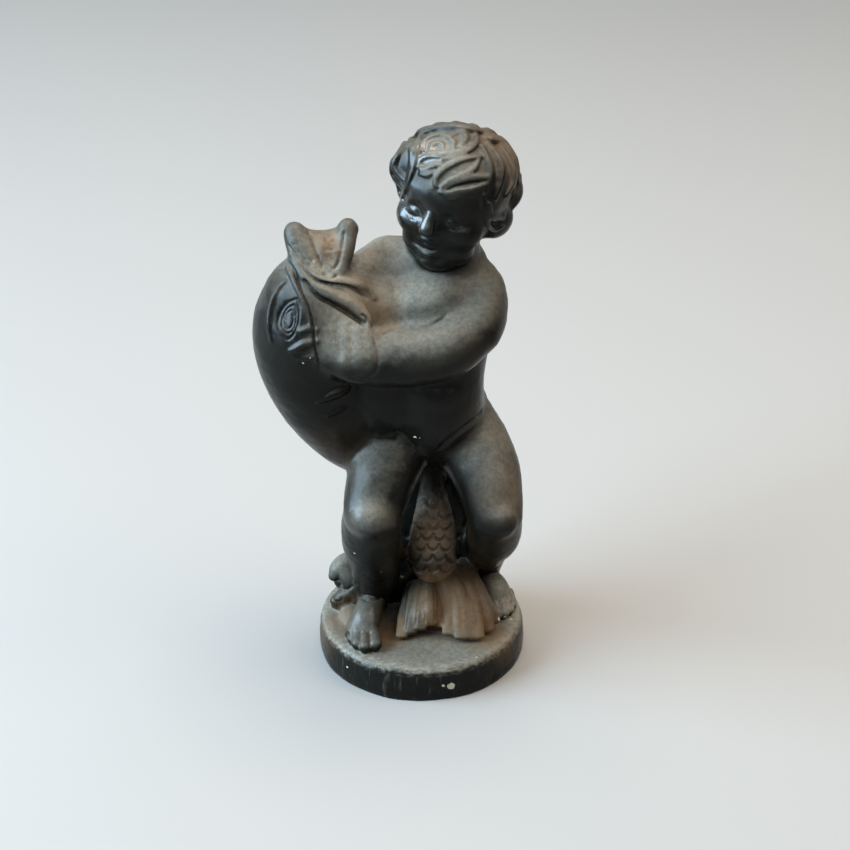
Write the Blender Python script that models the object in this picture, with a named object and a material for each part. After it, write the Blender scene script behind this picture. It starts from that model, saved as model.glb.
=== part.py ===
"""A cast-iron cherub who holds a dolphin, on a round plinth: one closed casting.

The figure is modelled as a sculptor works in clay. Masses are laid down as balls and tapered limbs,
fused into one skin, and their creases are filled. Then the carving is cut and pressed into the skin.
Places in the drawing are millimetres: +X to the cherub's left, -Y to his front, Z above the plinth's top.
"""

import math

import bmesh
import bpy
import numpy as np
from mathutils import Matrix, Vector
from mathutils.bvhtree import BVHTree

# Driving sizes, in metres
FIGURE_HEIGHT = 0.630
PLINTH_DIAMETER = 0.250
PLINTH_THICKNESS = 0.044
PLINTH_SIDES = 72
ROOT_DEPTH = 0.006

# The drawing is 630 mm tall, so this is one of its millimetres, in metres
DRAWN_HEIGHT = 630
MM = FIGURE_HEIGHT / DRAWN_HEIGHT

# Skin sizes, in drawing millimetres, and how many triangles the solid keeps
MASS_VOXEL = 4.0
SKIN_VOXEL = 2.6
TRIANGLES = 8500


def clear_scene():
    for obj in list(bpy.data.objects):
        bpy.data.objects.remove(obj)


def curve_through(points, steps):
    """Points of a smooth curve through every row of points, ends included."""
    rows = np.asarray(points, float)
    padded = np.vstack([2 * rows[0] - rows[1], rows, 2 * rows[-1] - rows[-2]])
    made = []
    for a, b, c, d in zip(padded, padded[1:], padded[2:], padded[3:]):
        for t in np.linspace(0, 1, steps, endpoint=False):
            made.append(0.5 * (2 * b + (c - a) * t + (2 * a - 5 * b + 4 * c - d) * t**2
                               + (3 * b - a - 3 * c + d) * t**3))
    made.append(rows[-1])
    return np.array(made)


def turned(turn):
    """A rotation about X, then Y, then Z, in degrees."""
    spin = Matrix.Identity(4)
    for angle, axis in zip(turn, "XYZ"):
        spin = Matrix.Rotation(math.radians(angle), 4, axis) @ spin
    return spin


class Clay:
    """Closed lumps that wait to be fused."""

    def __init__(self):
        self.points = []
        self.faces = []

    def take(self, lump):
        lump.verts.index_update()
        start = len(self.points)
        self.points.extend(v.co[:] for v in lump.verts)
        self.faces.extend([start + v.index for v in f.verts] for f in lump.faces)
        lump.free()

    def mesh(self, name):
        mesh = bpy.data.meshes.new(name)
        mesh.from_pydata(self.points, [], self.faces)
        return mesh


def add_ball(clay, centre, radii, turn=(0, 0, 0), where=Matrix.Identity(4)):
    """An ellipsoid."""
    sizes = (radii, radii, radii) if isinstance(radii, (int, float)) else radii
    place = where @ Matrix.Translation(centre) @ turned(turn) @ Matrix.Diagonal((*sizes, 1))
    lump = bmesh.new()
    bmesh.ops.create_icosphere(lump, subdivisions=4 if max(sizes) > 30 else 3, radius=1, matrix=place)
    clay.take(lump)


def add_limb(clay, stations, flat=None, sides=14, steps=4, where=Matrix.Identity(4)):
    """A limb with domed ends through stations of (x, y, z, radius) or (x, y, z, radius, thickness).

    The thickness is the half-size along the direction flat. A flat of (0, 0, 0) means away from the
    frame's origin, so the limb lies on a ball round it."""
    rows = curve_through([s if len(s) == 5 else (*s, s[3]) for s in stations], steps)
    rows[:, 3:] = np.maximum(rows[:, 3:], 0.4)
    domed = []
    for end, inner, order in ((rows[0], rows[1], -1), (rows[-1], rows[-2], 1)):
        out = (end[:3] - inner[:3]) / np.linalg.norm(end[:3] - inner[:3])
        reach = min(end[3:])
        dome = [np.append(end[:3] + out * reach * math.sin(a), end[3:] * math.cos(a))
                for a in np.radians([35, 65, 84])]
        domed.append(dome[::order])
    rows = np.vstack([domed[0], rows, domed[1]])
    across = Vector((0.31, -0.87, 0.38) if flat is None else flat)
    lump = bmesh.new()
    previous = None
    for i, row in enumerate(rows):
        along = Vector(rows[min(i + 1, len(rows) - 1)][:3] - rows[max(i - 1, 0)][:3]).normalized()
        if flat == (0, 0, 0):
            across = Vector(row[:3])
        thin = (across - across.dot(along) * along).normalized()
        if flat is None:
            across = thin
        wide = along.cross(thin)
        frame = Matrix((wide * row[3], thin * row[4], along)).transposed().to_4x4()
        frame.translation = Vector(row[:3])
        ring = bmesh.ops.create_circle(lump, cap_ends=i in (0, len(rows) - 1), segments=sides,
                                       radius=1, matrix=where @ frame)["verts"]
        edges = list({e for v in ring for e in v.link_edges})
        if previous:
            bmesh.ops.bridge_loops(lump, edges=previous + edges)
        previous = edges
    clay.take(lump)


class Skin:
    """A closed mesh as arrays, for the moves that a sculptor makes on the surface."""

    def __init__(self, mesh):
        self.mesh = mesh
        self.points = np.empty(len(mesh.vertices) * 3)
        mesh.vertices.foreach_get("co", self.points)
        self.points = self.points.reshape(-1, 3)
        ends = np.empty(len(mesh.edges) * 2, int)
        mesh.edges.foreach_get("vertices", ends)
        ends = ends.reshape(-1, 2)
        self.here = np.concatenate([ends[:, 0], ends[:, 1]])
        self.there = np.concatenate([ends[:, 1], ends[:, 0]])
        self.valence = np.maximum(np.bincount(self.here, minlength=len(self.points)), 1)[:, None]
        mesh.calc_loop_triangles()
        corners = np.empty(len(mesh.loop_triangles) * 3, int)
        mesh.loop_triangles.foreach_get("vertices", corners)
        self.corners = corners.reshape(-1, 3)
        self.settle()

    def settle(self):
        """Takes the skin as it now stands for the next strokes to be laid on."""
        self.facing = self.normals()
        self.tree = BVHTree.FromPolygons(self.points.tolist(), self.corners.tolist())

    def summed(self, index, values):
        return np.stack([np.bincount(index, v, len(self.points)) for v in values.T], axis=1)

    def faces(self):
        return [list(p.vertices) for p in self.mesh.polygons]

    def normals(self):
        a, b, c = (self.points[self.corners[:, k]] for k in range(3))
        faces = np.cross(b - a, c - a)
        total = sum(self.summed(self.corners[:, k], faces) for k in range(3))
        return total / np.maximum(np.linalg.norm(total, axis=1, keepdims=True), 1e-12)

    def pull(self):
        """From each point to the middle of its neighbours."""
        return self.summed(self.here, self.points[self.there]) / self.valence - self.points

    def fill_creases(self, rounds, strength=0.6):
        """Fills hollows as wet clay does, and leaves what bulges."""
        for _ in range(rounds):
            pull = self.pull()
            hollow = (pull * self.normals()).sum(axis=1, keepdims=True) > 0
            self.points += np.where(hollow, strength, 0.04) * pull

    def smooth(self, rounds, strength=0.5):
        for _ in range(rounds):
            self.points += strength * self.pull()

    def press(self, place, radius, depth):
        """Pushes a thumb's hollow into the skin."""
        far = np.linalg.norm(self.points - np.array(place), axis=1)
        fall = np.clip(1 - (far / radius) ** 2, 0, 1) ** 2
        self.points -= self.normals() * (depth * fall)[:, None]

    def stroke(self, path, radius, depth):
        """Draws a tool along a path laid on the skin: a groove, or a ridge where depth is negative."""
        fine = curve_through(path, 8)
        touched = [self.tree.find_nearest(Vector(p)) for p in fine]
        laid = np.array([t[0] for t in touched])
        facing = np.array([t[1] for t in touched])
        for _ in range(12):
            facing[1:-1] = (facing[:-2] + facing[1:-1] + facing[2:]) / 3
        facing /= np.linalg.norm(facing, axis=1, keepdims=True)
        near = np.flatnonzero(((self.points > laid.min(axis=0) - radius)
                               & (self.points < laid.max(axis=0) + radius)).all(axis=1))
        far = np.linalg.norm(self.points[near, None] - laid[None], axis=2)
        closest = far.argmin(axis=1)
        least = far[np.arange(len(near)), closest]
        same_side = (self.facing[near] * facing[closest]).sum(axis=1) > -0.2
        fall = np.clip(1 - (least / radius) ** 2, 0, 1) ** 2 * same_side
        self.points[near] -= facing[closest] * (depth * fall)[:, None]

    def finished(self):
        self.mesh.vertices.foreach_set("co", self.points.ravel())
        self.mesh.update()
        return self.mesh


def fused(clay, voxel):
    """The clay's lumps as one skin of even faces."""
    obj = bpy.data.objects.new("skin", clay.mesh("skin"))
    bpy.context.scene.collection.objects.link(obj)
    remesh = obj.modifiers.new("Fuse", "REMESH")
    remesh.mode = "VOXEL"
    remesh.voxel_size = voxel
    graph = bpy.context.evaluated_depsgraph_get()
    made = bpy.data.meshes.new_from_object(obj.evaluated_get(graph))
    bpy.data.objects.remove(obj)
    return Skin(made)


# The cherub's joints, in the drawing
HIP_R, HIP_L = (-24, 24, 256), (42, 22, 254)
KNEE_R, KNEE_L = (-56, -70, 188), (86, -44, 168)
ANKLE_R, ANKLE_L = (-55, 2, 38), (78, 46, 38)
NECK = (36, 10, 476)
SHOULDER_R, SHOULDER_L = (-36, 26, 454), (62, 8, 428)
ELBOW_L, WRIST_L = (60, -36, 404), (-48, -62, 378)
ELBOW_R, WRIST_R = (-98, 56, 392), (-146, 40, 356)

# The head's own frame: its centre, and how far it is bowed, tipped and turned
HEAD = (36, 2, 556)
HEAD_TURN = (5, 9, -25)
HEAD_FRAME = Matrix.Translation(HEAD) @ turned(HEAD_TURN)
SKULL = 60

# The dolphin's spine from its mouth down to the root of its tail fin, with its girth
DOLPHIN = [(-112, -8, 474, 32), (-117, -14, 450, 50), (-124, -18, 410, 62), (-126, -16, 370, 62),
           (-116, -8, 325, 59), (-94, 4, 280, 56), (-62, 18, 240, 52), (-26, 30, 212, 48),
           (8, 34, 190, 38), (12, 16, 155, 31), (14, 2, 124, 29), (14, -5, 102, 28), (14, -7, 84, 25)]
TAIL = DOLPHIN[-5:]
FIN_ROOT = (14, -6, 45)


def torso(clay):
    add_limb(clay, [(14, 16, 250, 60, 48), (15, 0, 292, 58, 56), (19, 0, 336, 54, 54),
                    (25, 4, 384, 56, 50), (28, 6, 420, 56, 44), (33, 12, 450, 44, 34)],
             flat=(0, 1, 0), sides=24)
    add_limb(clay, [SHOULDER_R + (32,), (4, 16, 456, 32), (34, 12, 456, 31), SHOULDER_L + (30,)])
    add_limb(clay, [NECK + (30,), (HEAD[0] - 2, HEAD[1], HEAD[2] - 50, 29)])
    add_ball(clay, (16, -14, 418), (58, 38, 44))
    add_ball(clay, (14, -12, 322), (50, 48, 46))
    add_ball(clay, (-10, 40, 262), (40, 38, 42))
    add_ball(clay, (40, 40, 262), (40, 38, 42))


def legs(clay):
    add_limb(clay, [HIP_R + (46,), (-40, -24, 226, 44), KNEE_R + (35,)])
    add_limb(clay, [KNEE_R + (34,), (-58, -46, 140, 36), (-56, -16, 84, 33), ANKLE_R + (26,)])
    add_limb(clay, [HIP_L + (45,), (72, -14, 216, 42), KNEE_L + (34,)])
    add_limb(clay, [KNEE_L + (33,), (85, -18, 124, 33), (80, 22, 78, 27), ANKLE_L + (21,)])
    add_ball(clay, (-57, -92, 190), (22, 16, 24))
    add_ball(clay, (92, -66, 170), (20, 15, 22))


def arms(clay):
    add_limb(clay, [SHOULDER_L + (34,), (65, -16, 416, 33), ELBOW_L + (32,)])
    add_limb(clay, [ELBOW_L + (31,), (30, -56, 390, 34), (-6, -62, 382, 34), WRIST_L + (32,)])
    add_limb(clay, [SHOULDER_R + (33,), (-66, 44, 426, 30), ELBOW_R + (27,)])
    add_limb(clay, [ELBOW_R + (26,), (-124, 52, 372, 24), WRIST_R + (18,)])
    add_ball(clay, (-146, 38, 346), (20, 14, 24))


def rock(clay):
    """The rock behind the legs that carries the dolphin's coil."""
    add_limb(clay, [(14, 46, 0, 64, 40), (14, 46, 60, 52, 34), (12, 44, 130, 42, 28),
                    (6, 40, 190, 34, 26)], flat=(0, 1, 0), sides=20)
    add_limb(clay, [(-88, 14, 2, 22), (-70, 30, 10, 26), (-30, 40, 14, 26)])


def head(clay):
    add_ball(clay, (0, 6, 4), (61, 64, 56), where=HEAD_FRAME)
    add_ball(clay, (0, -14, -24), (47, 43, 38), where=HEAD_FRAME)
    add_ball(clay, (0, -36, 12), (40, 22, 22), where=HEAD_FRAME)
    for side in (-1, 1):
        add_ball(clay, (side * 27, -30, -29), (24, 23, 22), where=HEAD_FRAME)
        add_ball(clay, (side * 20, -26, -56), (23, 21, 21), where=HEAD_FRAME)
    add_ball(clay, (0, -20, -42), (38, 33, 25), where=HEAD_FRAME)
    add_ball(clay, (1, -32, -71), (24, 19, 16), where=HEAD_FRAME)
    add_ball(clay, (0, -46, -58), (12, 10, 9), where=HEAD_FRAME)


def masses():
    """The great masses, with deep soft joins between them."""
    clay = Clay()
    torso(clay)
    legs(clay)
    arms(clay)
    head(clay)
    rock(clay)
    add_limb(clay, DOLPHIN, sides=24)
    add_ball(clay, (-82, -30, 416), (36, 35, 54))
    add_ball(clay, (-46, -16, 414), (30, 34, 40))
    add_ball(clay, (59, 12, 444), (28, 24, 24))
    add_ball(clay, (56, 16, 466), (22, 20, 22))
    add_ball(clay, (-40, -18, 348), (34, 34, 40))
    skin = fused(clay, MASS_VOXEL)
    skin.fill_creases(8)
    skin.smooth(2)
    return skin


def around(azimuth, elevation, radius):
    """A place on the head, in its own frame: azimuth from the nose toward his left ear."""
    a, e = math.radians(azimuth), math.radians(elevation)
    return (radius * math.sin(a) * math.cos(e), 6 - radius * math.cos(a) * math.cos(e),
            4 + 0.86 * radius * math.sin(e))


def add_lock(clay, path, width, lift=7):
    """A lock of hair that lies on the skull, full in the middle and drawn out at its tip."""
    stations = []
    for i, (azimuth, elevation) in enumerate(path):
        share = i / (len(path) - 1)
        girth = width * (0.6 + 0.5 * math.sin(math.pi * share) - 0.25 * share)
        stations.append((*around(azimuth, elevation, SKULL + lift), girth, girth * 0.7))
    add_limb(clay, stations, flat=(0, 0, 0), sides=10, steps=5, where=HEAD_FRAME)


# Locks as (azimuth, elevation) round the head, from the crown out, each with its half-width
LOCKS = [
    ([(75, 66), (30, 62), (6, 50), (-4, 40), (-3, 29)], 11),
    ([(60, 56), (36, 48), (17, 39), (5, 28)], 8),
    ([(54, 43), (36, 38), (20, 33), (6, 25)], 8),
    ([(47, 33), (32, 27), (18, 20)], 7),
    ([(56, 28), (44, 20), (30, 15)], 7),
    ([(89, 73), (32, 70), (0, 64), (-29, 59), (-55, 57), (-76, 64), (-80, 76)], 9),
    ([(159, 64), (-179, 74), (-128, 69), (-110, 54), (-98, 42)], 9),
    ([(-2, 54), (-22, 52), (-36, 43)], 8),
    ([(4, 46), (-9, 41), (-22, 34)], 7),
    ([(-96, 50), (-66, 45), (-42, 34), (-31, 20), (-38, 2)], 9),
    ([(-104, 42), (-84, 28), (-68, 12), (-54, -2)], 13),
    ([(-116, 36), (-98, 20), (-80, 6), (-66, -8)], 13),
    ([(150, 60), (140, 44), (126, 28), (114, 8)], 10),
    ([(96, 66), (103, 50), (95, 32), (80, 14)], 10),
    ([(75, 62), (76, 48), (72, 33), (64, 18)], 9),
    ([(60, 56), (61, 42), (58, 28), (60, 14)], 8),
    ([(62, 24), (58, 10), (60, -4), (74, -12)], 8),
    ([(76, 16), (74, 0), (84, -16)], 8),
    ([(100, 14), (100, -10), (94, -28), (82, -40)], 13),
    ([(122, 10), (118, -12), (108, -34)], 13),
    ([(112, -16), (104, -36), (92, -52)], 12),
    ([(134, -4), (130, -26), (120, -46)], 14),
]


def hair(clay):
    add_ball(clay, (-2, 14, 6), (65, 60, 57), where=HEAD_FRAME)
    add_ball(clay, (-2, 4, 54), (36, 32, 12), where=HEAD_FRAME)
    add_ball(clay, (44, 18, -33), (21, 24, 23), where=HEAD_FRAME)
    for path, width in LOCKS:
        add_lock(clay, path, width)
    for i, azimuth in enumerate(range(142, 254, 22)):
        add_lock(clay, [(azimuth - 6, 60), (azimuth + 4, 40), (azimuth - 4, 18), (azimuth + 4, 0)], 11)
        low = -34 - 6 * (i % 2)
        add_lock(clay, [(azimuth - 12, 14), (azimuth - 4, -8), (azimuth - 12, low)], 11)


def comb(skin):
    """Parts each lock from the next, and draws strands along it."""
    for path, width in LOCKS:
        for offset, depth in ((-0.95, 2.4), (-0.3, 1.2), (0.4, 1.2), (1.0, 2.4)):
            line = []
            for i, (azimuth, elevation) in enumerate(path):
                here = Vector(around(azimuth, elevation, SKULL + 11))
                after = Vector(around(*path[min(i + 1, len(path) - 1)], SKULL + 11))
                before = Vector(around(*path[max(i - 1, 0)], SKULL + 11))
                side = (after - before).cross(here).normalized()
                share = i / (len(path) - 1)
                line.append(HEAD_FRAME @ (here + side * offset * width * (1 - 0.75 * share**2)))
            skin.stroke(line, 3.2, depth)


def face(clay):
    add_limb(clay, [(0, -51, 0, 5, 5), (0, -56, -9, 6.5, 6), (-1, -62, -18, 8, 7), (-1, -63, -23, 8.5, 7.5)],
             flat=(0, -1, 0.4), where=HEAD_FRAME)
    add_limb(clay, [(-13, -52, -42, 3), (-6, -55, -40, 4.2), (2, -55, -40, 4.2), (9, -52, -42, 3)],
             where=HEAD_FRAME)
    add_limb(clay, [(-10, -50, -48, 3.5), (-2, -53, -49, 5), (6, -50, -48, 3.5)], where=HEAD_FRAME)
    for side in (-1, 1):
        add_ball(clay, (side * 8.5 - 1, -54, -24), (5.5, 6, 5), where=HEAD_FRAME)
        add_ball(clay, (side * 20, -44, -12), (12, 9, 8.5), where=HEAD_FRAME)
        add_limb(clay, [(side * 8, -53, 2, 3), (side * 19, -51, 5, 4), (side * 31, -43, 0, 2.5)],
                 where=HEAD_FRAME)


def dolphin_head(clay):
    add_limb(clay, [(-138, -8, 506, 13), (-130, -20, 488, 16), (-120, -30, 470, 17), (-108, -38, 456, 15)])
    add_limb(clay, [(-80, -4, 511, 12), (-82, -16, 494, 12), (-88, -30, 477, 12), (-100, -42, 458, 12)])
    add_limb(clay, [(-124, -8, 497, 13), (-118, -16, 488, 13), (-111, -24, 477, 12), (-105, -34, 464, 12)])
    add_limb(clay, [(-136, 0, 500, 10), (-124, -2, 499, 9), (-110, -2, 496, 9), (-96, 0, 499, 9),
                    (-82, 2, 503, 10)])
    add_limb(clay, [(-108, 2, 492, 24, 10), (-108, 0, 474, 22, 10), (-106, -12, 450, 18, 12)],
             flat=(0, 1, 0), sides=20)
    add_limb(clay, [(-143, -22, 489, 5), (-131, -42, 480, 6), (-117, -56, 471, 7),
                    (-98, -62, 464, 7), (-80, -66, 457, 8), (-62, -72, 447, 8), (-49, -76, 434, 6)])
    add_limb(clay, [(-146, -28, 478, 5), (-131, -52, 468, 6), (-115, -64, 459, 8),
                    (-96, -70, 448, 9), (-78, -76, 436, 10), (-62, -82, 424, 10), (-53, -84, 419, 7)])
    for rib in FLAP_RIBS:
        add_limb(clay, rib, flat=(0, -0.85, 0.5), sides=12)
    add_limb(clay, [(-148, -34, 478, 4), (-139, -54, 468, 5), (-130, -65, 456, 5),
                    (-123, -72, 440, 5), (-121, -77, 424, 4), (-120, -79, 404, 3)])
    add_limb(clay, [(-147, -49, 467, 4), (-158, -51, 456, 6), (-165, -54, 440, 6),
                    (-169, -56, 422, 5), (-170, -58, 402, 3)])
    add_ball(clay, (-143, -69, 433), (12, 8, 19), turn=(0, -12, -14))
    for finger in FINGERS:
        add_limb(clay, finger)
    add_limb(clay, [(-114, -66, 326, 4), (-99, -69, 335, 8), (-84, -66, 341, 6)])
    add_limb(clay, [(-106, -62, 307, 4), (-91, -60, 313, 6)])


# The fin that lies over the cherub's wrist, as ribs, and the fingertips that come out from under it
FLAP_RIBS = [
    [(-108, -58, 437, 15, 8), (-104, -72, 415, 16, 8), (-101, -80, 395, 16, 8), (-98, -82, 384, 14, 7)],
    [(-89, -60, 432, 16, 8), (-84, -74, 411, 17, 8), (-80, -85, 392, 16, 8), (-77, -88, 382, 13, 7)],
    [(-70, -64, 422, 15, 8), (-65, -77, 406, 16, 8), (-61, -87, 393, 15, 8), (-60, -90, 384, 11, 7)],
]
FINGERS = [
    [(-112, -80, 422, 6), (-122, -81, 420, 7), (-128, -80, 416, 6)],
    [(-112, -83, 407, 7), (-126, -84, 404, 7), (-139, -81, 399, 5)],
    [(-112, -81, 391, 6), (-126, -82, 389, 6), (-138, -81, 388, 4)],
]


def tail_scales(clay):
    """Rows of lapping scales round the tail, each with its lower edge standing out."""
    spine = curve_through(TAIL, 6)
    lengths = np.concatenate([[0], np.cumsum(np.linalg.norm(np.diff(spine[:, :3], axis=0), axis=1))])
    for row, reach in enumerate(np.arange(14, lengths[-1] + 6, 15)):
        x, y, z, girth = (np.interp(reach, lengths, spine[:, k]) for k in range(4))
        ahead = [np.interp(reach + 2, lengths, spine[:, k]) for k in range(3)]
        down = (Vector(ahead) - Vector((x, y, z))).normalized() if reach < lengths[-1] - 2 \
            else Vector((0, -0.1, -1)).normalized()
        for column in range(SCALE_COLUMNS):
            angle = (column + 0.5 * (row % 2)) * math.tau / SCALE_COLUMNS
            side = Vector((math.cos(angle), math.sin(angle), 0))
            out = (side - side.dot(down) * down).normalized()
            across = down.cross(out)
            frame = Matrix((across, out, down)).transposed().to_4x4()
            frame.translation = Vector((x, y, z)) + out * (girth - 1.5)
            wide = girth * math.sin(math.pi / SCALE_COLUMNS) * 1.12
            add_ball(clay, (0, 0, 0), (wide, 4.5, 11), turn=(-14, 0, 0), where=frame)


SCALE_COLUMNS = 9


def tail_fin(clay):
    """The tail fin: a fan of rays that hangs out over the plinth, on a foot that carries it."""
    for tip, width in FIN_RAYS:
        spread = tip[0] - FIN_ROOT[0]
        root = (FIN_ROOT[0] + 0.6 * spread, FIN_ROOT[1] + 0.25 * max(spread, 0),
                FIN_ROOT[2] - 0.35 * max(-spread, 0))
        middle = (FIN_ROOT[0] + 0.8 * spread, 0.5 * (root[1] + tip[1]) + 4, 0.5 * (root[2] + tip[2]) + 5)
        add_limb(clay, [(*root, width, 10), (*middle, width, 7), (*tip, width, 4.5)],
                 flat=(0, -0.35, 1), sides=10)
    add_ball(clay, (24, -16, 2), (44, 30, 22))
    add_ball(clay, (34, 6, 30), (40, 26, 24))


# Each ray of the tail fin as its tip and half-width
FIN_RAYS = [((-23, -72, 6), 6), ((-12, -64, 10), 7), ((-1, -56, 15), 7), ((12, -47, 20), 7),
            ((24, -50, 16), 8), ((37, -65, 10), 10), ((51, -74, 8), 10), ((65, -74, 7), 10),
            ((79, -60, 7), 9), ((87, -43, 9), 7)]


def foot(clay, ankle, toes, heel, width):
    """A foot from its heel to a row of toes, the big toe first."""
    middle = [sum(t[k] for t in toes) / len(toes) for k in range(3)]
    add_limb(clay, [(*heel, 18, 16), (0.5 * (ankle[0] + middle[0]), 0.5 * (ankle[1] + middle[1]),
             22, width, 19), (middle[0], middle[1] + 12, 12, width + 1, 11)],
             flat=(0, 0, 1), sides=16)
    for i, toe in enumerate(toes):
        size = 8 - 0.8 * i
        root = (0.2 * middle[0] + 0.8 * toe[0], toe[1] + 18, toe[2] + 5)
        add_limb(clay, [(*root, size), (*toe, size)], sides=10)


def part_toes(skin, toes):
    """Presses a groove between each toe and the next."""
    for a, b in zip(toes, toes[1:]):
        x, y, z = (0.5 * (a[k] + b[k]) for k in range(3))
        skin.stroke([(x, y + 14, z + 10), (x, y + 8, z + 8), (x, y, z + 5), (x, y - 8, z)], 4, 3.5)


TOES_R = [(-55, -82, 8), (-67, -86, 8), (-76, -80, 8), (-82, -70, 7), (-86, -58, 7)]
TOES_L = [(80, -18, 9), (90, -20, 9), (99, -17, 8), (106, -9, 7), (110, 2, 7)]


def hand(clay):
    """The right hand's fingers, spread over the dolphin's back."""
    for i in range(4):
        height = 368 - 13 * i
        add_limb(clay, [(-144, 47, height - 2, 8), (-162, 41, height - 4, 8.5), (-175, 29, height - 7, 7.5),
                        (-181, 16, height - 10, 6)])
    add_limb(clay, [(-134, 48, 366, 9), (-142, 48, 384, 8), (-152, 42, 397, 6.5)])


def forms():
    """The forms that sit on the masses."""
    base = masses()
    for side in (-1, 1):
        base.press(HEAD_FRAME @ Vector((side * 19, -54, -6)), 14, 4)
    base.press((-150, -66, 436), 24, 4)
    clay = Clay()
    clay.points.extend(base.points.tolist())
    clay.faces.extend(base.faces())
    hair(clay)
    face(clay)
    dolphin_head(clay)
    tail_scales(clay)
    tail_fin(clay)
    hand(clay)
    foot(clay, ANKLE_R, TOES_R, (-54, 12, 16), 18)
    foot(clay, ANKLE_L, TOES_L, (74, 52, 16), 18)
    for curl in ROCK_CURLS:
        add_limb(clay, curl)
    skin = fused(clay, SKIN_VOXEL)
    skin.fill_creases(2)
    skin.smooth(1)
    skin.settle()
    comb(skin)
    skin.press((-101, -28, 482), 15, 5)
    for path, width, depth in GROOVES:
        skin.stroke(path, width, depth)
    mouth = [(-17, -52, -43), (-9, -57, -45), (-2, -58, -45), (4, -57, -45), (12, -52, -43)]
    skin.stroke([HEAD_FRAME @ Vector(p) for p in mouth], 3.5, 2.5)
    part_toes(skin, TOES_R)
    part_toes(skin, TOES_L)
    for side in (-1, 1):
        lid = [(side * 9, -53, -13), (side * 19, -56, -16), (side * 30, -48, -12)]
        skin.stroke([HEAD_FRAME @ Vector(p) for p in lid], 3, 1.8)
    skin.smooth(1)
    return skin


# Scrolls of rock beside the right foot
ROCK_CURLS = [
    [(-66, 40, 30, 20), (-80, 34, 44, 18), (-92, 26, 50, 14), (-101, 19, 49, 11), (-106, 14, 42, 7)],
    [(-98, 18, 52, 9), (-90, 14, 42, 11), (-82, 9, 28, 12), (-74, 6, 18, 14)],
    [(-103, 7, 10, 9), (-94, 7, 17, 10), (-84, 8, 22, 11), (-72, 14, 26, 12)],
    [(-66, 34, 10, 26), (-82, 28, 4, 22), (-96, 12, -2, 16)],
    [(-70, 44, 12, 22), (-86, 38, 24, 16), (-96, 34, 22, 12)],
    [(-60, 30, -8, 20), (-84, -6, -8, 19), (-76, -34, -9, 15)],
]

# Grooves as a path on the skin, a half-width and a depth
GROOVES = [
    ([(-128, -54, 471), (-114, -66, 461), (-99, -72, 450), (-83, -78, 437), (-66, -84, 424)], 4, 3),
    ([(-128, -44, 481), (-118, -56, 474), (-104, -62, 467), (-83, -64, 458), (-62, -70, 446)], 4, 2.5),
    ([(-145, -36, 477), (-135, -56, 467), (-126, -68, 455), (-119, -75, 441), (-116, -80, 424),
      (-115, -82, 405), (-113, -81, 384), (-110, -78, 360)], 4, 3),
    ([(-47, -66, 412), (-33, -64, 413), (-19, -60, 415), (-1, -60, 418), (12, -58, 420),
      (23, -51, 423), (34, -42, 428)], 6, 3),
    ([(-4, -42, 249), (-15, -43, 265), (-26, -38, 275), (-41, -30, 278), (-58, -39, 276)], 6, 3),
    ([(19, -38, 246), (28, -47, 262), (42, -47, 276), (58, -35, 284), (74, -12, 288)], 6, 3),
    ([(-143, -72, 454), (-153, -70, 446), (-157, -70, 430), (-152, -76, 416), (-143, -80, 411),
      (-134, -78, 420), (-131, -74, 436), (-135, -70, 450), (-143, -72, 454)], 3.5, 1.8),
    ([(15, 74, 304), (15, 82, 280), (15, 82, 258), (14, 70, 238)], 8, 5),
]


def linked(name, mesh):
    obj = bpy.data.objects.new(name, mesh)
    bpy.context.scene.collection.objects.link(obj)
    return obj


def baked(obj):
    """Replaces an object's mesh with what its modifiers make of it."""
    graph = bpy.context.evaluated_depsgraph_get()
    mesh = bpy.data.meshes.new_from_object(obj.evaluated_get(graph))
    obj.modifiers.clear()
    obj.data = mesh
    return mesh


def cut_level(mesh, height):
    """Cuts away what is below a height and closes the cut."""
    lump = bmesh.new()
    lump.from_mesh(mesh)
    bmesh.ops.bisect_plane(lump, geom=lump.verts[:] + lump.edges[:] + lump.faces[:],
                           plane_co=(0, 0, height), plane_no=(0, 0, 1), clear_inner=True)
    bmesh.ops.holes_fill(lump, edges=[e for e in lump.edges if e.is_boundary])
    lump.to_mesh(mesh)
    lump.free()


# The plinth's side as shares of its radius and its thickness, with a rim that is worn round
PLINTH_OUTLINE = [(0.985, 0), (1, 0.1), (1, 0.5), (0.99, 0.76), (0.965, 0.92), (0.92, 1)]


def plinth():
    """The round plinth, with its worn upper rim and its flat underside on the origin."""
    lump = bmesh.new()
    previous = None
    for i, (reach, height) in enumerate(PLINTH_OUTLINE):
        ring = bmesh.ops.create_circle(
            lump, cap_ends=i in (0, len(PLINTH_OUTLINE) - 1), segments=PLINTH_SIDES,
            radius=reach * PLINTH_DIAMETER / 2,
            matrix=Matrix.Translation((0, 0, height * PLINTH_THICKNESS)))["verts"]
        edges = list({e for v in ring for e in v.link_edges})
        if previous:
            bmesh.ops.bridge_loops(lump, edges=previous + edges)
        previous = edges
    bmesh.ops.recalc_face_normals(lump, faces=lump.faces)
    mesh = bpy.data.meshes.new("plinth")
    lump.to_mesh(mesh)
    lump.free()
    return mesh


def painted_iron():
    material = bpy.data.materials.new("painted_cast_iron")
    material.use_nodes = True
    shader = material.node_tree.nodes["Principled BSDF"]
    shader.inputs["Base Color"].default_value = (0.035, 0.037, 0.036, 1)
    shader.inputs["Metallic"].default_value = 0.1
    shader.inputs["Roughness"].default_value = 0.4
    return material


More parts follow.
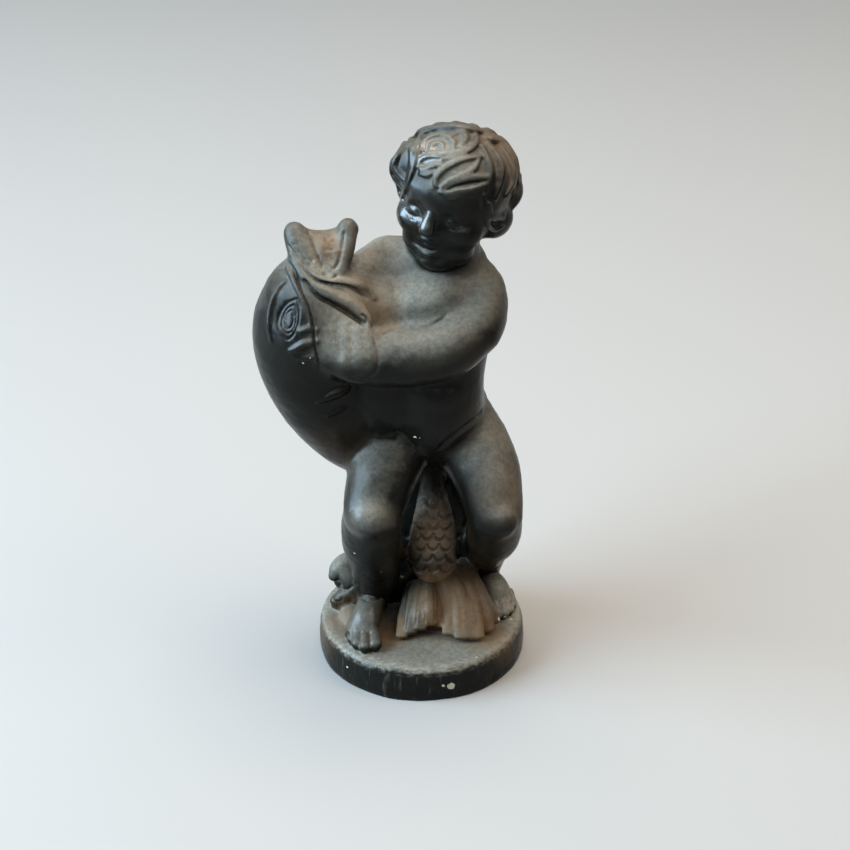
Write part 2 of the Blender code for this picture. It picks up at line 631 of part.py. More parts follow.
def main():
    clear_scene()
    mesh = forms().finished()
    mesh.transform(Matrix.Translation((0, 0, PLINTH_THICKNESS)) @ Matrix.Scale(MM, 4))
    statue = linked("cherub_statue", mesh)
    cut_level(mesh, PLINTH_THICKNESS - ROOT_DEPTH)
    thin = statue.modifiers.new("Facets", "DECIMATE")
    thin.ratio = TRIANGLES / (2 * len(mesh.vertices))
    baked(statue)
    disc = linked("plinth", plinth())
    join = statue.modifiers.new("Cast in one", "BOOLEAN")
    join.operation = "UNION"
    join.solver = "EXACT"
    join.object = disc
    baked(statue)
    bpy.data.objects.remove(disc)
    statue.data.materials.clear()
    statue.data.materials.append(painted_iron())


if __name__ == "__main__":
    main()
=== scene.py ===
import math

import bmesh
import bpy
import numpy as np
from bpy.props import FloatProperty, FloatVectorProperty, IntProperty, PointerProperty
from mathutils import Matrix, Vector, noise
from mathutils.bvhtree import BVHTree


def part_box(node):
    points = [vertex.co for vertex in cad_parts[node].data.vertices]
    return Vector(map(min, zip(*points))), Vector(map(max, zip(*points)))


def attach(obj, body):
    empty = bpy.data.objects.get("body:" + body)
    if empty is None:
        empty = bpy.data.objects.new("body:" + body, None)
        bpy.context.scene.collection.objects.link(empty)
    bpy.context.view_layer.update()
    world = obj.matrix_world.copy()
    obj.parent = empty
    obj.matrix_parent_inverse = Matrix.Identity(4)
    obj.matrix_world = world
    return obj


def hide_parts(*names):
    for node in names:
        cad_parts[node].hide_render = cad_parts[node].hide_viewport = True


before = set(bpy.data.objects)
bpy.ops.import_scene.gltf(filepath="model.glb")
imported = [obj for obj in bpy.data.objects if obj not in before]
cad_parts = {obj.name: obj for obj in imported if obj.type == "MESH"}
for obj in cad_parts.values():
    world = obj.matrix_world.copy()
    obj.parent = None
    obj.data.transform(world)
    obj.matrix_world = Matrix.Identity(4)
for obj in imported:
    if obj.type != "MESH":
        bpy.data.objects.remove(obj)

bl_info = {
    "name": "Painted Iron Cherub",
    "version": (1, 0, 0),
    "blender": (4, 5, 0),
    "location": "3D View > Sidebar > Cherub",
    "description": "Carves and paints a cast-iron cherub who holds a dolphin, and sets its studio stage",
    "category": "Object",
}

NODE = "cherub_statue"
LOW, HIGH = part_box(NODE)
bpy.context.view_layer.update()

# The carving is drawn in millimetres above the plinth's top: +X to the cherub's left, -Y to his front.
# Here are its whole height and its plinth's height. The frame's box gives the real size of one of its
# millimetres, and the plinth's radius.
DRAWN_HEIGHT = 667.4
PLINTH = 44
MM = (HIGH[2] - LOW[2]) / DRAWN_HEIGHT
PLINTH_RADIUS = (HIGH[1] - LOW[1]) / 2 / MM

# The net that the masses are fused on, how often creases are filled on them and on the fine skin, and
# the radius from which a ball gets more faces
MASS_VOXEL = 4.0
MASS_FILLING = 8
SKIN_FILLING = 3
LARGE_BALL = 24

# The camera that took the photograph, read off the plinth's ellipses: where it stands in the drawing, how
# far it looks down, and its focal length in pixels of the photograph. Paths named "seen" are in pixels of
# the photograph, across and down, and are laid on the skin where that camera sees them. Where it sees no
# skin, the place nearest to its line of sight is looked for at the distances searched.
PHOTO_SIZE = 850
EYE = (4.4, -2000, 1386)
LOOKS_DOWN = math.radians(29.37)
FOCAL = 1980
SEARCHED = range(1950, 2500, 12)


def sight(across, down):
    """The direction in which the camera sees a pixel of the photograph."""
    right = across - PHOTO_SIZE / 2
    above = PHOTO_SIZE / 2 - down
    forward = Vector((0, math.cos(LOOKS_DOWN), -math.sin(LOOKS_DOWN)))
    upward = Vector((0, math.sin(LOOKS_DOWN), math.cos(LOOKS_DOWN)))
    return (forward * FOCAL + Vector((right, 0, 0)) + upward * above).normalized()


def curve_through(points, steps):
    """Points of a smooth curve through every row of points, ends included."""
    rows = np.asarray(points, float)
    padded = np.vstack([2 * rows[0] - rows[1], rows, 2 * rows[-1] - rows[-2]])
    made = []
    for a, b, c, d in zip(padded, padded[1:], padded[2:], padded[3:]):
        for t in np.linspace(0, 1, steps, endpoint=False):
            made.append(0.5 * (2 * b + (c - a) * t + (2 * a - 5 * b + 4 * c - d) * t**2
                               + (3 * b - a - 3 * c + d) * t**3))
    made.append(rows[-1])
    return np.array(made)


def turned(turn):
    """A rotation about X, then Y, then Z, in degrees."""
    spin = Matrix.Identity(4)
    for angle, axis in zip(turn, "XYZ"):
        spin = Matrix.Rotation(math.radians(angle), 4, axis) @ spin
    return spin


class Clay:
    """Closed lumps that wait to be fused."""

    def __init__(self):
        self.points = []
        self.faces = []

    def take(self, lump):
        lump.verts.index_update()
        start = len(self.points)
        self.points.extend(v.co[:] for v in lump.verts)
        self.faces.extend([start + v.index for v in f.verts] for f in lump.faces)
        lump.free()

    def mesh(self, name):
        mesh = bpy.data.meshes.new(name)
        mesh.from_pydata(self.points, [], self.faces)
        return mesh


def add_balls(clay, balls, where=Matrix.Identity(4)):
    """Ellipsoids, each with a centre and three radii. The large ones get more faces."""
    for centre, radii in balls:
        lump = bmesh.new()
        bmesh.ops.create_icosphere(lump, subdivisions=5 if max(radii) > LARGE_BALL else 4, radius=1,
                                   matrix=where @ Matrix.Translation(centre) @ Matrix.Diagonal((*radii, 1)))
        clay.take(lump)


def bridged(lump, ring, edges_before):
    """Joins a ring of points to the ring before it, if there is one, and gives the ring's edges."""
    edges = list({e for v in ring for e in v.link_edges})
    if edges_before:
        bmesh.ops.bridge_loops(lump, edges=edges_before + edges)
    return edges


# The angles at which a limb's domed end has rings, and a direction that no limb follows, for the first
# ring of one that isn't flat
DOME = [25, 45, 65, 84]
ASIDE = (0.31, -0.87, 0.38)


def add_limb(clay, stations, flat=None, sides=20, steps=6, where=Matrix.Identity(4), strands=0,
             strand_depth=0.1):
    """A limb with domed ends through stations of (x, y, z, radius) or (x, y, z, radius, thickness).

    The thickness is the half-size along the direction flat. A flat of (0, 0, 0) means away from the
    frame's origin, so the limb lies on a ball round it. Strands are ridges that run along the limb."""
    rows = curve_through([s if len(s) == 5 else (*s, s[3]) for s in stations], steps)
    rows[:, 3:] = np.maximum(rows[:, 3:], 0.4)
    domed = []
    for end, inner, order in ((rows[0], rows[1], -1), (rows[-1], rows[-2], 1)):
        out = (end[:3] - inner[:3]) / np.linalg.norm(end[:3] - inner[:3])
        reach = min(end[3:])
        dome = [np.append(end[:3] + out * reach * math.sin(a), end[3:] * math.cos(a))
                for a in np.radians(DOME)]
        domed.append(dome[::order])
    rows = np.vstack([domed[0], rows, domed[1]])
    across = Vector(ASIDE if flat is None else flat)
    lump = bmesh.new()
    edges = None
    for i, row in enumerate(rows):
        along = Vector(rows[min(i + 1, len(rows) - 1)][:3] - rows[max(i - 1, 0)][:3]).normalized()
        if flat == (0, 0, 0):
            across = Vector(row[:3])
        thin = (across - across.dot(along) * along).normalized()
        if flat is None:
            across = thin
        wide = along.cross(thin)
        frame_of_ring = Matrix((wide * row[3], thin * row[4], along)).transposed().to_4x4()
        frame_of_ring.translation = Vector(row[:3])
        ring = bmesh.ops.create_circle(lump, cap_ends=i in (0, len(rows) - 1), segments=sides,
                                       radius=1)["verts"]
        for v in ring:
            share = math.asin(max(-1, min(1, v.co.x))) / math.pi
            v.co *= 1 - strand_depth * (0.5 + 0.5 * math.cos(math.tau * share * strands)) * bool(strands)
        bmesh.ops.transform(lump, matrix=where @ frame_of_ring, verts=ring)
        edges = bridged(lump, ring, edges)
    clay.take(lump)


def rows_of(items, attribute, width, kind=float):
    """What every item of a mesh holds under an attribute, a row for each."""
    values = np.empty(len(items) * width, kind)
    items.foreach_get(attribute, values)
    return values.reshape(-1, width)


# How many steps a stroke takes from one of its points to the next, and how often its direction is evened
STROKE_STEPS = 8
STROKE_EVENING = 12


class Skin:
    """A closed mesh as arrays, for the moves that a sculptor makes on the surface."""

    def __init__(self, mesh):
        self.mesh = mesh
        self.points = rows_of(mesh.vertices, "co", 3)
        ends = rows_of(mesh.edges, "vertices", 2, int)
        self.here = np.concatenate([ends[:, 0], ends[:, 1]])
        self.there = np.concatenate([ends[:, 1], ends[:, 0]])
        self.valence = np.maximum(np.bincount(self.here, minlength=len(self.points)), 1)[:, None]
        mesh.calc_loop_triangles()
        self.corners = rows_of(mesh.loop_triangles, "vertices", 3, int)
        self.settle()

    def settle(self):
        """Takes the skin as it now stands, so that the next strokes are laid on it."""
        self.facing = self.normals()
        self.tree = BVHTree.FromPolygons(self.points.tolist(), self.corners.tolist())

    def summed(self, index, values):
        return np.stack([np.bincount(index, v, len(self.points)) for v in values.T], axis=1)

    def faces(self):
        return [list(p.vertices) for p in self.mesh.polygons]

    def normals(self):
        a, b, c = (self.points[self.corners[:, k]] for k in range(3))
        faces = np.cross(b - a, c - a)
        total = sum(self.summed(self.corners[:, k], faces) for k in range(3))
        return total / np.maximum(np.linalg.norm(total, axis=1, keepdims=True), 1e-12)

    def pull(self):
        """From each point to the middle of its neighbours."""
        return self.summed(self.here, self.points[self.there]) / self.valence - self.points

    def seen(self, pixels, lift=0):
        """Places on the skin, or lifted off it, that the camera sees at pixels of the photograph.

        A pixel just outside the skin's outline gives the place that comes nearest to its line of sight."""
        places = []
        for across, down in pixels:
            way = sight(across, down)
            place, facing, _, _ = self.tree.ray_cast(Vector(EYE), way)
            if not place:
                passed = [self.tree.find_nearest(Vector(EYE) + way * reach) for reach in SEARCHED]
                place, facing, _, _ = min(passed, key=lambda hit: hit[3])
            places.append(place + facing * lift)
        return places

    def fill_creases(self, rounds, strength=0.6):
        """Fills hollows as wet clay does, and leaves what bulges."""
        for _ in range(rounds):
            pull = self.pull()
            hollow = (pull * self.normals()).sum(axis=1, keepdims=True) > 0
            self.points += np.where(hollow, strength, 0.04) * pull

    def smooth(self, rounds, strength=0.5):
        for _ in range(rounds):
            self.points += strength * self.pull()

    def uneven(self, size, height, about=(0, 0, 0), reach=2000):
        """Raises and lowers the skin a little in clouds of about a size, as a hand-made casting is."""
        far = np.linalg.norm(self.points - np.array(about), axis=1)
        near = np.flatnonzero(far < reach)
        rise = np.array([noise.fractal(Vector(p) / size, 0.9, 2, 3) for p in self.points[near].tolist()])
        rise *= height * np.clip(2 - 2 * far[near] / reach, 0, 1)
        self.points[near] += self.facing[near] * rise[:, None]

    def press(self, place, radius, depth):
        """Pushes a thumb's hollow into the skin."""
        far = np.linalg.norm(self.points - np.array(place), axis=1)
        fall = np.clip(1 - (far / radius) ** 2, 0, 1) ** 2
        self.points -= self.facing * (depth * fall)[:, None]

    def stroke(self, path, radius, depth, reach=6):
        """Draws a tool along a path laid on the skin: a groove, or a ridge where depth is negative.

        The tool lifts where the skin is further than reach from the path, as under another form, and at
        the path's ends, unless it closes on itself."""
        fine = curve_through(path, STROKE_STEPS)
        touched = [self.tree.find_nearest(Vector(p)) for p in fine]
        laid = np.array([t[0] for t in touched])
        facing = np.array([t[1] for t in touched])
        weight = np.clip(2 - 2 * np.array([t[3] for t in touched]) / reach, 0, 1)
        if tuple(path[0]) != tuple(path[-1]):
            weight *= np.clip(5 - np.abs(np.linspace(-5.3, 5.3, len(fine))), 0, 1) ** 0.7
        for _ in range(STROKE_EVENING):
            facing[1:-1] = (facing[:-2] + facing[1:-1] + facing[2:]) / 3
        facing /= np.linalg.norm(facing, axis=1, keepdims=True)
        near = np.flatnonzero(((self.points > laid.min(axis=0) - radius)
                               & (self.points < laid.max(axis=0) + radius)).all(axis=1))
        far = np.linalg.norm(self.points[near, None] - laid[None], axis=2)
        closest = far.argmin(axis=1)
        least = far[np.arange(len(near)), closest]
        same_side = (self.facing[near] * facing[closest]).sum(axis=1) > -0.2
        fall = np.clip(1 - (least / radius) ** 2, 0, 1) ** 2 * same_side * weight[closest]
        self.points[near] -= facing[closest] * (depth * fall)[:, None]

    def hollowness(self, rounds):
        """How far each point lies below the skin smoothed that many times: more in a crease."""
        kept = self.points.copy()
        self.smooth(rounds)
        depth = ((self.points - kept) * self.facing).sum(axis=1)
        self.points = kept
        return depth

    def finished(self):
        self.mesh.vertices.foreach_set("co", self.points.ravel())
        self.mesh.update()
        return self.mesh


def linked(name, data):
    """A new object in the scene."""
    obj = bpy.data.objects.new(name, data)
    bpy.context.scene.collection.objects.link(obj)
    return obj


def modified(mesh, kind, **settings):
    """The mesh that a modifier of a kind makes of a mesh."""
    obj = linked("skin", mesh)
    modifier = obj.modifiers.new(kind.title(), kind)
    for name, value in settings.items():
        setattr(modifier, name, value)
    graph = bpy.context.evaluated_depsgraph_get()
    made = bpy.data.meshes.new_from_object(obj.evaluated_get(graph))
    bpy.data.objects.remove(obj)
    return made


def fused(clay, voxel):
    """The clay's lumps as one skin of even faces."""
    return Skin(modified(clay.mesh("skin"), "REMESH", mode="VOXEL", voxel_size=voxel))


def refined(skin):
    """The same skin on a finer, rounder net."""
    return Skin(modified(skin.finished(), "SUBSURF", levels=1, render_levels=1))


def thinned(mesh, triangles):
    """The mesh with no more than so many triangles, fewer where it is plain."""
    return modified(mesh, "DECIMATE", ratio=min(1, triangles / (2 * len(mesh.vertices))))


def cut_level(mesh, height):
    """Cuts away what is below a height and closes the cut."""
    lump = bmesh.new()
    lump.from_mesh(mesh)
    bmesh.ops.bisect_plane(lump, geom=lump.verts[:] + lump.edges[:] + lump.faces[:],
                           plane_co=(0, 0, height), plane_no=(0, 0, 1), clear_inner=True)
    bmesh.ops.holes_fill(lump, edges=[e for e in lump.edges if e.is_boundary])
    bmesh.ops.triangulate(lump, faces=lump.faces)
    lump.to_mesh(mesh)
    lump.free()


# The cherub's joints, in the drawing
HIP_R, HIP_L = (-24, 24, 256), (42, 22, 254)
KNEE_R, KNEE_L = (-56, -70, 188), (86, -44, 168)
ANKLE_R, ANKLE_L = (-55, 2, 38), (78, 46, 38)
NECK = (36, 10, 476)
SHOULDER_R, SHOULDER_L = (-36, 26, 454), (62, 8, 428)
ELBOW_L, WRIST_L = (60, -36, 404), (-48, -62, 378)
ELBOW_R, WRIST_R = (-98, 56, 392), (-146, 40, 356)

# The head's own frame: its centre, and how far it is bowed, tipped and turned
HEAD = (36, 2, 556)
HEAD_TURN = (5, 9, -25)
HEAD_FRAME = Matrix.Translation(HEAD) @ turned(HEAD_TURN)

# The skull that the locks lie on, in that frame: its middle, its radius and how flat it is from above
SKULL_MIDDLE = (0, 6, 4)
SKULL = 60
SKULL_FLATNESS = 0.86

# The dolphin's spine from its mouth down to the root of its tail fin, each place with its radius
DOLPHIN = [(-112, -8, 474, 32), (-117, -14, 450, 50), (-124, -18, 410, 62), (-126, -16, 370, 62),
           (-116, -8, 325, 59), (-94, 4, 280, 56), (-62, 20, 240, 52), (-28, 42, 216, 44),
           (6, 52, 196, 30), (12, 36, 178, 14), (14, 4, 154, 20), (14, -12, 126, 27),
           (14, -16, 104, 29), (14, -14, 86, 30)]


def torso(clay):
    """The trunk, shoulders and neck, and the chest, belly and buttocks on them."""
    add_limb(clay, [(14, 16, 250, 60, 48), (15, 0, 292, 58, 56), (19, 0, 336, 54, 54),
                    (25, 4, 384, 56, 50), (28, 6, 420, 56, 44), (33, 12, 450, 44, 34)],
             flat=(0, 1, 0), sides=32)
    add_limb(clay, [SHOULDER_R + (32,), (4, 16, 456, 32), (34, 12, 456, 31), SHOULDER_L + (30,)])
    add_limb(clay, [NECK + (30,), (HEAD[0] - 2, HEAD[1], HEAD[2] - 50, 29)])
    add_balls(clay, [((16, -14, 418), (58, 38, 44)), ((14, -12, 322), (50, 48, 46)),
                     ((-10, 40, 262), (40, 38, 42)), ((40, 40, 262), (40, 38, 42))])


def legs(clay):
    """Both legs down to the ankles, and their kneecaps."""
    add_limb(clay, [HIP_R + (46,), (-40, -24, 226, 44), KNEE_R + (35,)])
    add_limb(clay, [KNEE_R + (34,), (-58, -46, 140, 36), (-56, -16, 84, 33), ANKLE_R + (26,)])
    add_limb(clay, [HIP_L + (45,), (72, -14, 216, 42), KNEE_L + (34,)])
    add_limb(clay, [KNEE_L + (33,), (85, -18, 124, 33), (80, 22, 78, 27), ANKLE_L + (21,)])
    add_balls(clay, [((-57, -92, 190), (22, 16, 24)), ((92, -66, 170), (20, 15, 22))])


def arms(clay):
    """Both arms, and the palm of the right hand."""
    add_limb(clay, [SHOULDER_L + (34,), (65, -16, 416, 33), ELBOW_L + (32,)])
    add_limb(clay, [ELBOW_L + (31,), (30, -56, 390, 34), (-6, -62, 382, 34), WRIST_L + (32,)])
    add_limb(clay, [SHOULDER_R + (33,), (-66, 44, 426, 30), ELBOW_R + (27,)])
    add_limb(clay, [ELBOW_R + (26,), (-124, 52, 372, 24), WRIST_R + (18,)])
    add_balls(clay, [((-146, 38, 346), (20, 14, 24))])


# Lumps on the rock's back, each with its radii
ROCK_LUMPS = [((-34, 66, 22), (34, 26, 30)), ((38, 74, 40), (44, 26, 36)), ((-4, 78, 92), (42, 20, 30)),
              ((52, 68, 118), (30, 20, 34)), ((-34, 62, 132), (26, 20, 40)), ((22, 74, 166), (38, 18, 26))]


def rock(clay):
    """The rock behind the legs that carries the dolphin's coil."""
    add_limb(clay, [(14, 50, 0, 80, 38), (14, 54, 60, 72, 30), (14, 58, 130, 66, 22),
                    (16, 54, 190, 56, 22), (20, 46, 216, 46, 22)], flat=(0, 1, 0), sides=28)
    add_balls(clay, ROCK_LUMPS)
    add_limb(clay, [(-88, 14, 2, 22), (-70, 30, 10, 26), (-30, 40, 14, 26)])


def head(clay):
    """The skull, brow, cheeks, jaw and chin."""
    cheeks = []
    for side in (-1, 1):
        cheeks += [((side * 27, -30, -29), (24, 23, 22)), ((side * 20, -26, -56), (23, 21, 21))]
    skull = [((0, 6, 4), (61, 64, 56)), ((0, -14, -24), (47, 43, 38)), ((0, -36, 12), (40, 22, 22))]
    jaw = [((0, -20, -42), (38, 33, 25)), ((1, -32, -71), (24, 19, 16)), ((0, -46, -58), (12, 10, 9))]
    add_balls(clay, skull + cheeks + jaw, HEAD_FRAME)


# What fills the gaps where the dolphin, the chest, the shoulder and the belly run together
FILLINGS = [((-82, -30, 416), (36, 35, 54)), ((-46, -16, 414), (30, 34, 40)), ((-66, 2, 446), (28, 24, 30)),
            ((59, 12, 444), (28, 24, 24)), ((54, 16, 463), (20, 20, 20)), ((-42, -20, 326), (46, 36, 70))]


def masses():
    """The great masses, with deep soft joins between them."""
    clay = Clay()
    torso(clay)
    legs(clay)
    arms(clay)
    head(clay)
    hair_cap(clay)
    rock(clay)
    add_limb(clay, DOLPHIN, sides=32)
    dolphin_beak(clay)
    dolphin_flap(clay)
    add_balls(clay, FILLINGS)
    skin = fused(clay, MASS_VOXEL)
    skin.fill_creases(MASS_FILLING)
    skin.smooth(2)
    return refined(skin)


def around(azimuth, elevation, radius):
    """A place on the head, in its own frame: azimuth from the nose toward his left ear."""
    a, e = math.radians(azimuth), math.radians(elevation)
    x, y, z = SKULL_MIDDLE
    return (x + radius * math.sin(a) * math.cos(e), y - radius * math.cos(a) * math.cos(e),
            z + SKULL_FLATNESS * radius * math.sin(e))


def add_lock(clay, path, width, lift=7):
    """A lock of hair that lies on the skull, full in the middle and drawn out at its tip."""
    stations = []
    for i, (azimuth, elevation) in enumerate(path):
        share = i / (len(path) - 1)
        girth = width * (0.6 + 0.5 * math.sin(math.pi * share) - 0.25 * share)
        stations.append((*around(azimuth, elevation, SKULL + lift), girth, girth * 0.7))
    add_limb(clay, stations, flat=(0, 0, 0), sides=40, steps=7, where=HEAD_FRAME,
             strands=max(3, round(width / 2.2)), strand_depth=0.13)


def add_seen_lock(clay, base, path, widths, strands, lift=0.6):
    """A lock of hair along a path that the camera sees, with half-widths at its root, middle and tip."""
    local = HEAD_FRAME.inverted()
    places = base.seen(path, lift)
    stations = []
    for i, place in enumerate(places):
        girth = np.interp(i / (len(places) - 1), (0, 0.5, 1), widths)
        stations.append((*(local @ place), girth, girth * 0.85))
    add_limb(clay, stations, flat=(0, 0, 0), sides=36, steps=7, where=HEAD_FRAME, strands=strands,
             strand_depth=0.14)


def add_seen_ridge(clay, base, path, radii, sunk=0.3):
    """A cord along a path that the camera sees, round, and sunk into the skin by a share of its radius."""
    stations = []
    places = base.seen(path)
    under = [base.tree.find_nearest(place)[1] for place in places]
    for i, place in enumerate(places):
        radius = np.interp(i, np.linspace(0, len(places) - 1, len(radii)), radii)
        stations.append((*(place - under[i] * radius * sunk), radius))
    add_limb(clay, stations)


# Locks at the back and sides as (azimuth, elevation) round the head, from the crown out, each with its
# half-width
LOCKS = [
    ([(159, 64), (-179, 74), (-128, 69), (-110, 54), (-98, 42)], 9),
    ([(-116, 36), (-106, 20), (-96, 2), (-84, -12)], 12),
    ([(150, 60), (140, 44), (126, 28), (114, 8)], 10),
    ([(122, 10), (118, -12), (108, -34)], 12),
    ([(134, -4), (130, -26), (120, -46)], 14),
]

# The azimuths of the locks in two rows over the back of the head
BACK_LOCKS = range(142, 254, 22)

# Locks that show in the photograph: seen paths, half-widths and how many strands each has
SEEN_LOCKS = [
    ([(420, 134), (440, 129), (460, 128), (478, 131), (486, 139)], (4, 6, 4), 3),
    ([(424, 151), (425, 142), (434, 137), (445, 136), (453, 142), (453, 150)], (3, 4, 3), 2),
    ([(430, 151), (433, 145), (441, 144), (443, 149)], (2, 3, 2), 1),
    ([(428, 153), (442, 154), (456, 153), (466, 149), (474, 143)], (3, 4, 3), 2),
    ([(452, 136), (462, 133), (466, 139), (460, 147)], (3, 4, 3), 2),
    ([(474, 133), (477, 141), (471, 149), (458, 156), (442, 160)], (3, 4, 2), 2),
    ([(480, 157), (466, 159), (453, 164), (442, 171), (436, 179), (436, 186)], (3, 4, 3), 2),
    ([(479, 160), (474, 169), (463, 176), (451, 181), (442, 187)], (2, 4, 3), 2),
    ([(486, 178), (474, 178), (462, 180), (452, 184), (443, 190)], (4, 4, 2), 2),
    ([(488, 184), (478, 188), (468, 191), (458, 192), (448, 194), (441, 192)], (4, 5, 3), 2),
    ([(481, 193), (470, 195), (461, 197), (452, 199), (445, 197)], (3, 3, 2), 1),
    ([(440, 157), (430, 156), (422, 159), (420, 163)], (3, 4, 3), 2),
    ([(440, 165), (431, 167), (423, 170), (420, 167)], (3, 4, 3), 2),
    ([(436, 172), (427, 175), (420, 174)], (2, 3, 2), 1),
    ([(421, 133), (418, 146), (416, 160), (412, 174), (407, 187), (402, 198)], (4, 5, 3), 2),
    ([(410, 138), (412, 150), (412, 162), (409, 174), (407, 186)], (4, 4, 2), 2),
    ([(405, 144), (398, 156), (395, 164), (400, 174), (407, 182)], (4, 6, 3), 3),
    ([(394, 160), (391, 169), (395, 178), (404, 188)], (4, 6, 3), 3),
    ([(393, 178), (395, 187), (401, 194), (403, 201)], (4, 5, 2), 2),
    ([(482, 147), (487, 158), (490, 170), (489, 182), (484, 194)], (4, 5, 2), 3),
    ([(487, 143), (497, 157), (501, 170), (500, 184), (495, 198)], (4, 6, 3), 3),
    ([(491, 140), (504, 154), (511, 169), (512, 183), (505, 196)], (4, 6, 3), 3),
    ([(490, 133), (502, 145), (511, 160), (514, 176), (512, 192)], (3, 5, 3), 3),
    ([(482, 196), (485, 208), (493, 216), (503, 216)], (4, 5, 3), 2),
    ([(488, 204), (490, 214), (496, 219), (503, 217)], (3, 4, 3), 2),
    ([(484, 212), (487, 224), (494, 229), (502, 226)], (3, 4, 3), 2),
]


def hair_cap(clay):
    """The mass of hair that the locks lie on."""
    add_balls(clay, [((-3, 14, 4), (65, 60, 53)), ((-2, 2, 38), (44, 42, 20)),
                     ((-42, -12, 20), (26, 26, 28)), ((44, 18, -33), (21, 24, 23))], HEAD_FRAME)


def hair(clay, base):
    """Locks at the sides, locks that the camera sees, and two rows of locks over the back."""
    for path, width in LOCKS:
        add_lock(clay, path, width)
    for path, widths, strands in SEEN_LOCKS:
        add_seen_lock(clay, base, path, widths, strands)
    for i, azimuth in enumerate(BACK_LOCKS):
        add_lock(clay, [(azimuth - 6, 60), (azimuth + 4, 40), (azimuth - 4, 18), (azimuth + 4, 0)], 11)
        low = -34 - 6 * (i % 2)
        add_lock(clay, [(azimuth - 12, 14), (azimuth - 4, -8), (azimuth - 12, low)], 11)


def face(clay):
    """The nose, two lips, and on each side a nostril, an eye and a brow."""
    add_limb(clay, [(0, -51, 0, 5, 5), (0, -56, -9, 6.5, 6), (-1, -61, -18, 8, 7), (-1, -62, -23, 8.5, 7.5)],
             flat=(0, -1, 0.4), where=HEAD_FRAME)
    add_limb(clay, [(-13, -50, -42, 2.5), (-6, -53, -40, 3.5), (2, -53, -40, 3.5), (9, -50, -42, 2.5)],
             where=HEAD_FRAME)
    add_limb(clay, [(-10, -48, -47, 2.5), (-2, -50.5, -48, 3.6), (6, -48, -47, 2.5)], where=HEAD_FRAME)
    for side in (-1, 1):
        add_balls(clay, [((side * 8.5 - 1, -53, -24), (5.5, 6, 5)),
                         ((side * 20, -43.5, -13), (12, 8.5, 8.5))], HEAD_FRAME)
        add_limb(clay, [(side * 8, -53, 1, 3), (side * 19, -50, 4, 4), (side * 31, -42, -1, 2.5)],
                 where=HEAD_FRAME)


def dolphin_beak(clay):
    """The dolphin's open beak: two walls that meet in a point below, and a saddle between them."""
    add_limb(clay, [(-138, -8, 506, 14), (-130, -20, 488, 16), (-120, -30, 470, 17), (-108, -38, 456, 15)])
    add_limb(clay, [(-80, -4, 510, 13), (-82, -16, 494, 11), (-88, -30, 477, 11), (-100, -42, 458, 12)])
    add_limb(clay, [(-124, -8, 497, 13), (-118, -16, 488, 13), (-111, -24, 477, 12), (-105, -34, 464, 12)])
    add_limb(clay, [(-136, 2, 500, 9), (-124, 2, 499, 8), (-110, 4, 496, 8), (-96, 4, 499, 8),
                    (-82, 4, 503, 9)])
    add_limb(clay, [(-108, 12, 492, 22, 8), (-106, 10, 474, 20, 8), (-104, -4, 450, 16, 10)],
             flat=(0, 1, 0))


# The cheek fin's ribs
FLAP_RIBS = [
    [(-108, -56, 437, 15, 8), (-104, -70, 415, 16, 8), (-101, -78, 395, 16, 8), (-98, -80, 384, 14, 7)],
    [(-89, -58, 432, 16, 8), (-84, -72, 411, 17, 8), (-80, -83, 392, 16, 8), (-77, -86, 382, 13, 7)],
    [(-70, -62, 422, 15, 8), (-65, -75, 406, 16, 8), (-61, -85, 393, 15, 8), (-60, -88, 384, 11, 7)],
]


def dolphin_flap(clay):
    """The dolphin's cheek fin, which lies over the cherub's wrist."""
    for rib in FLAP_RIBS:
        add_limb(clay, rib, flat=(0, -0.85, 0.5))
    add_limb(clay, [(-104, -64, 384, 17), (-84, -70, 376, 18), (-62, -74, 372, 18)])


# Ridges on the dolphin's head as seen paths and radii: the two lip cords, the gill, the brow, the
# fingertips and two fins on its flank
SEEN_RIDGES = [
    ([(291, 254), (299, 264), (309, 274), (320, 280), (333, 282), (347, 283), (359, 285), (368, 290),
      (374, 298)], (3, 5, 6, 6, 4)),
    ([(290, 258), (297, 267), (305, 278), (314, 286), (324, 292), (336, 297), (348, 302), (358, 309),
      (366, 317), (370, 323)], (3, 5, 7, 8, 8, 5)),
    ([(287, 266), (292, 277), (299, 291), (306, 304), (311, 317), (313, 331), (315, 347), (318, 362)],
     (3, 4, 4, 3)),
    ([(285, 281), (278, 289), (273, 299), (270, 311), (269, 325), (271, 340)], (3, 4, 3)),
    ([(315, 330), (308, 329), (301, 332)], (5, 5, 4)),
    ([(316, 341), (306, 344), (297, 348), (290, 351)], (5, 6, 5, 3)),
    ([(314, 357), (303, 358), (293, 357)], (3, 3, 2)),
    ([(318, 402), (328, 397), (339, 392), (347, 389)], (3, 6, 7, 4)),
    ([(328, 415), (337, 411), (344, 408)], (3, 4, 3)),
]


# The tail's scales in seen pixels: the tail's middle, how wide a scale is, where each row's lower edge
# lies, and that edge from a scale's left to its right
TAIL_MIDDLE = 433
SCALE_WIDTH = 13
SCALE_ROWS = range(507, 580, 11)
SCALE_EDGE = [(-6.5, 8), (-5, 3), (0, 0), (5, 3), (6.5, 8)]


def scale_lines():
    """The lower edges of the tail's scales, one in the top row and three or four in the others."""
    lines = []
    for row, down in enumerate(SCALE_ROWS):
        columns = 1 + min(row, 2) + row % 2
        depth = 2.1 + 0.45 * row
        for column in range(columns):
            across = TAIL_MIDDLE + (column - (columns - 1) / 2) * SCALE_WIDTH
            lines.append(([(across + right, down - up) for right, up in SCALE_EDGE], 2.4, depth))
    return lines


def at_height(across, down, height):
    """The place at a height over the plinth that the camera sees at a pixel of the photograph."""
    way = sight(across, down)
    return Vector(EYE) + way * ((height - EYE[2]) / way.z)


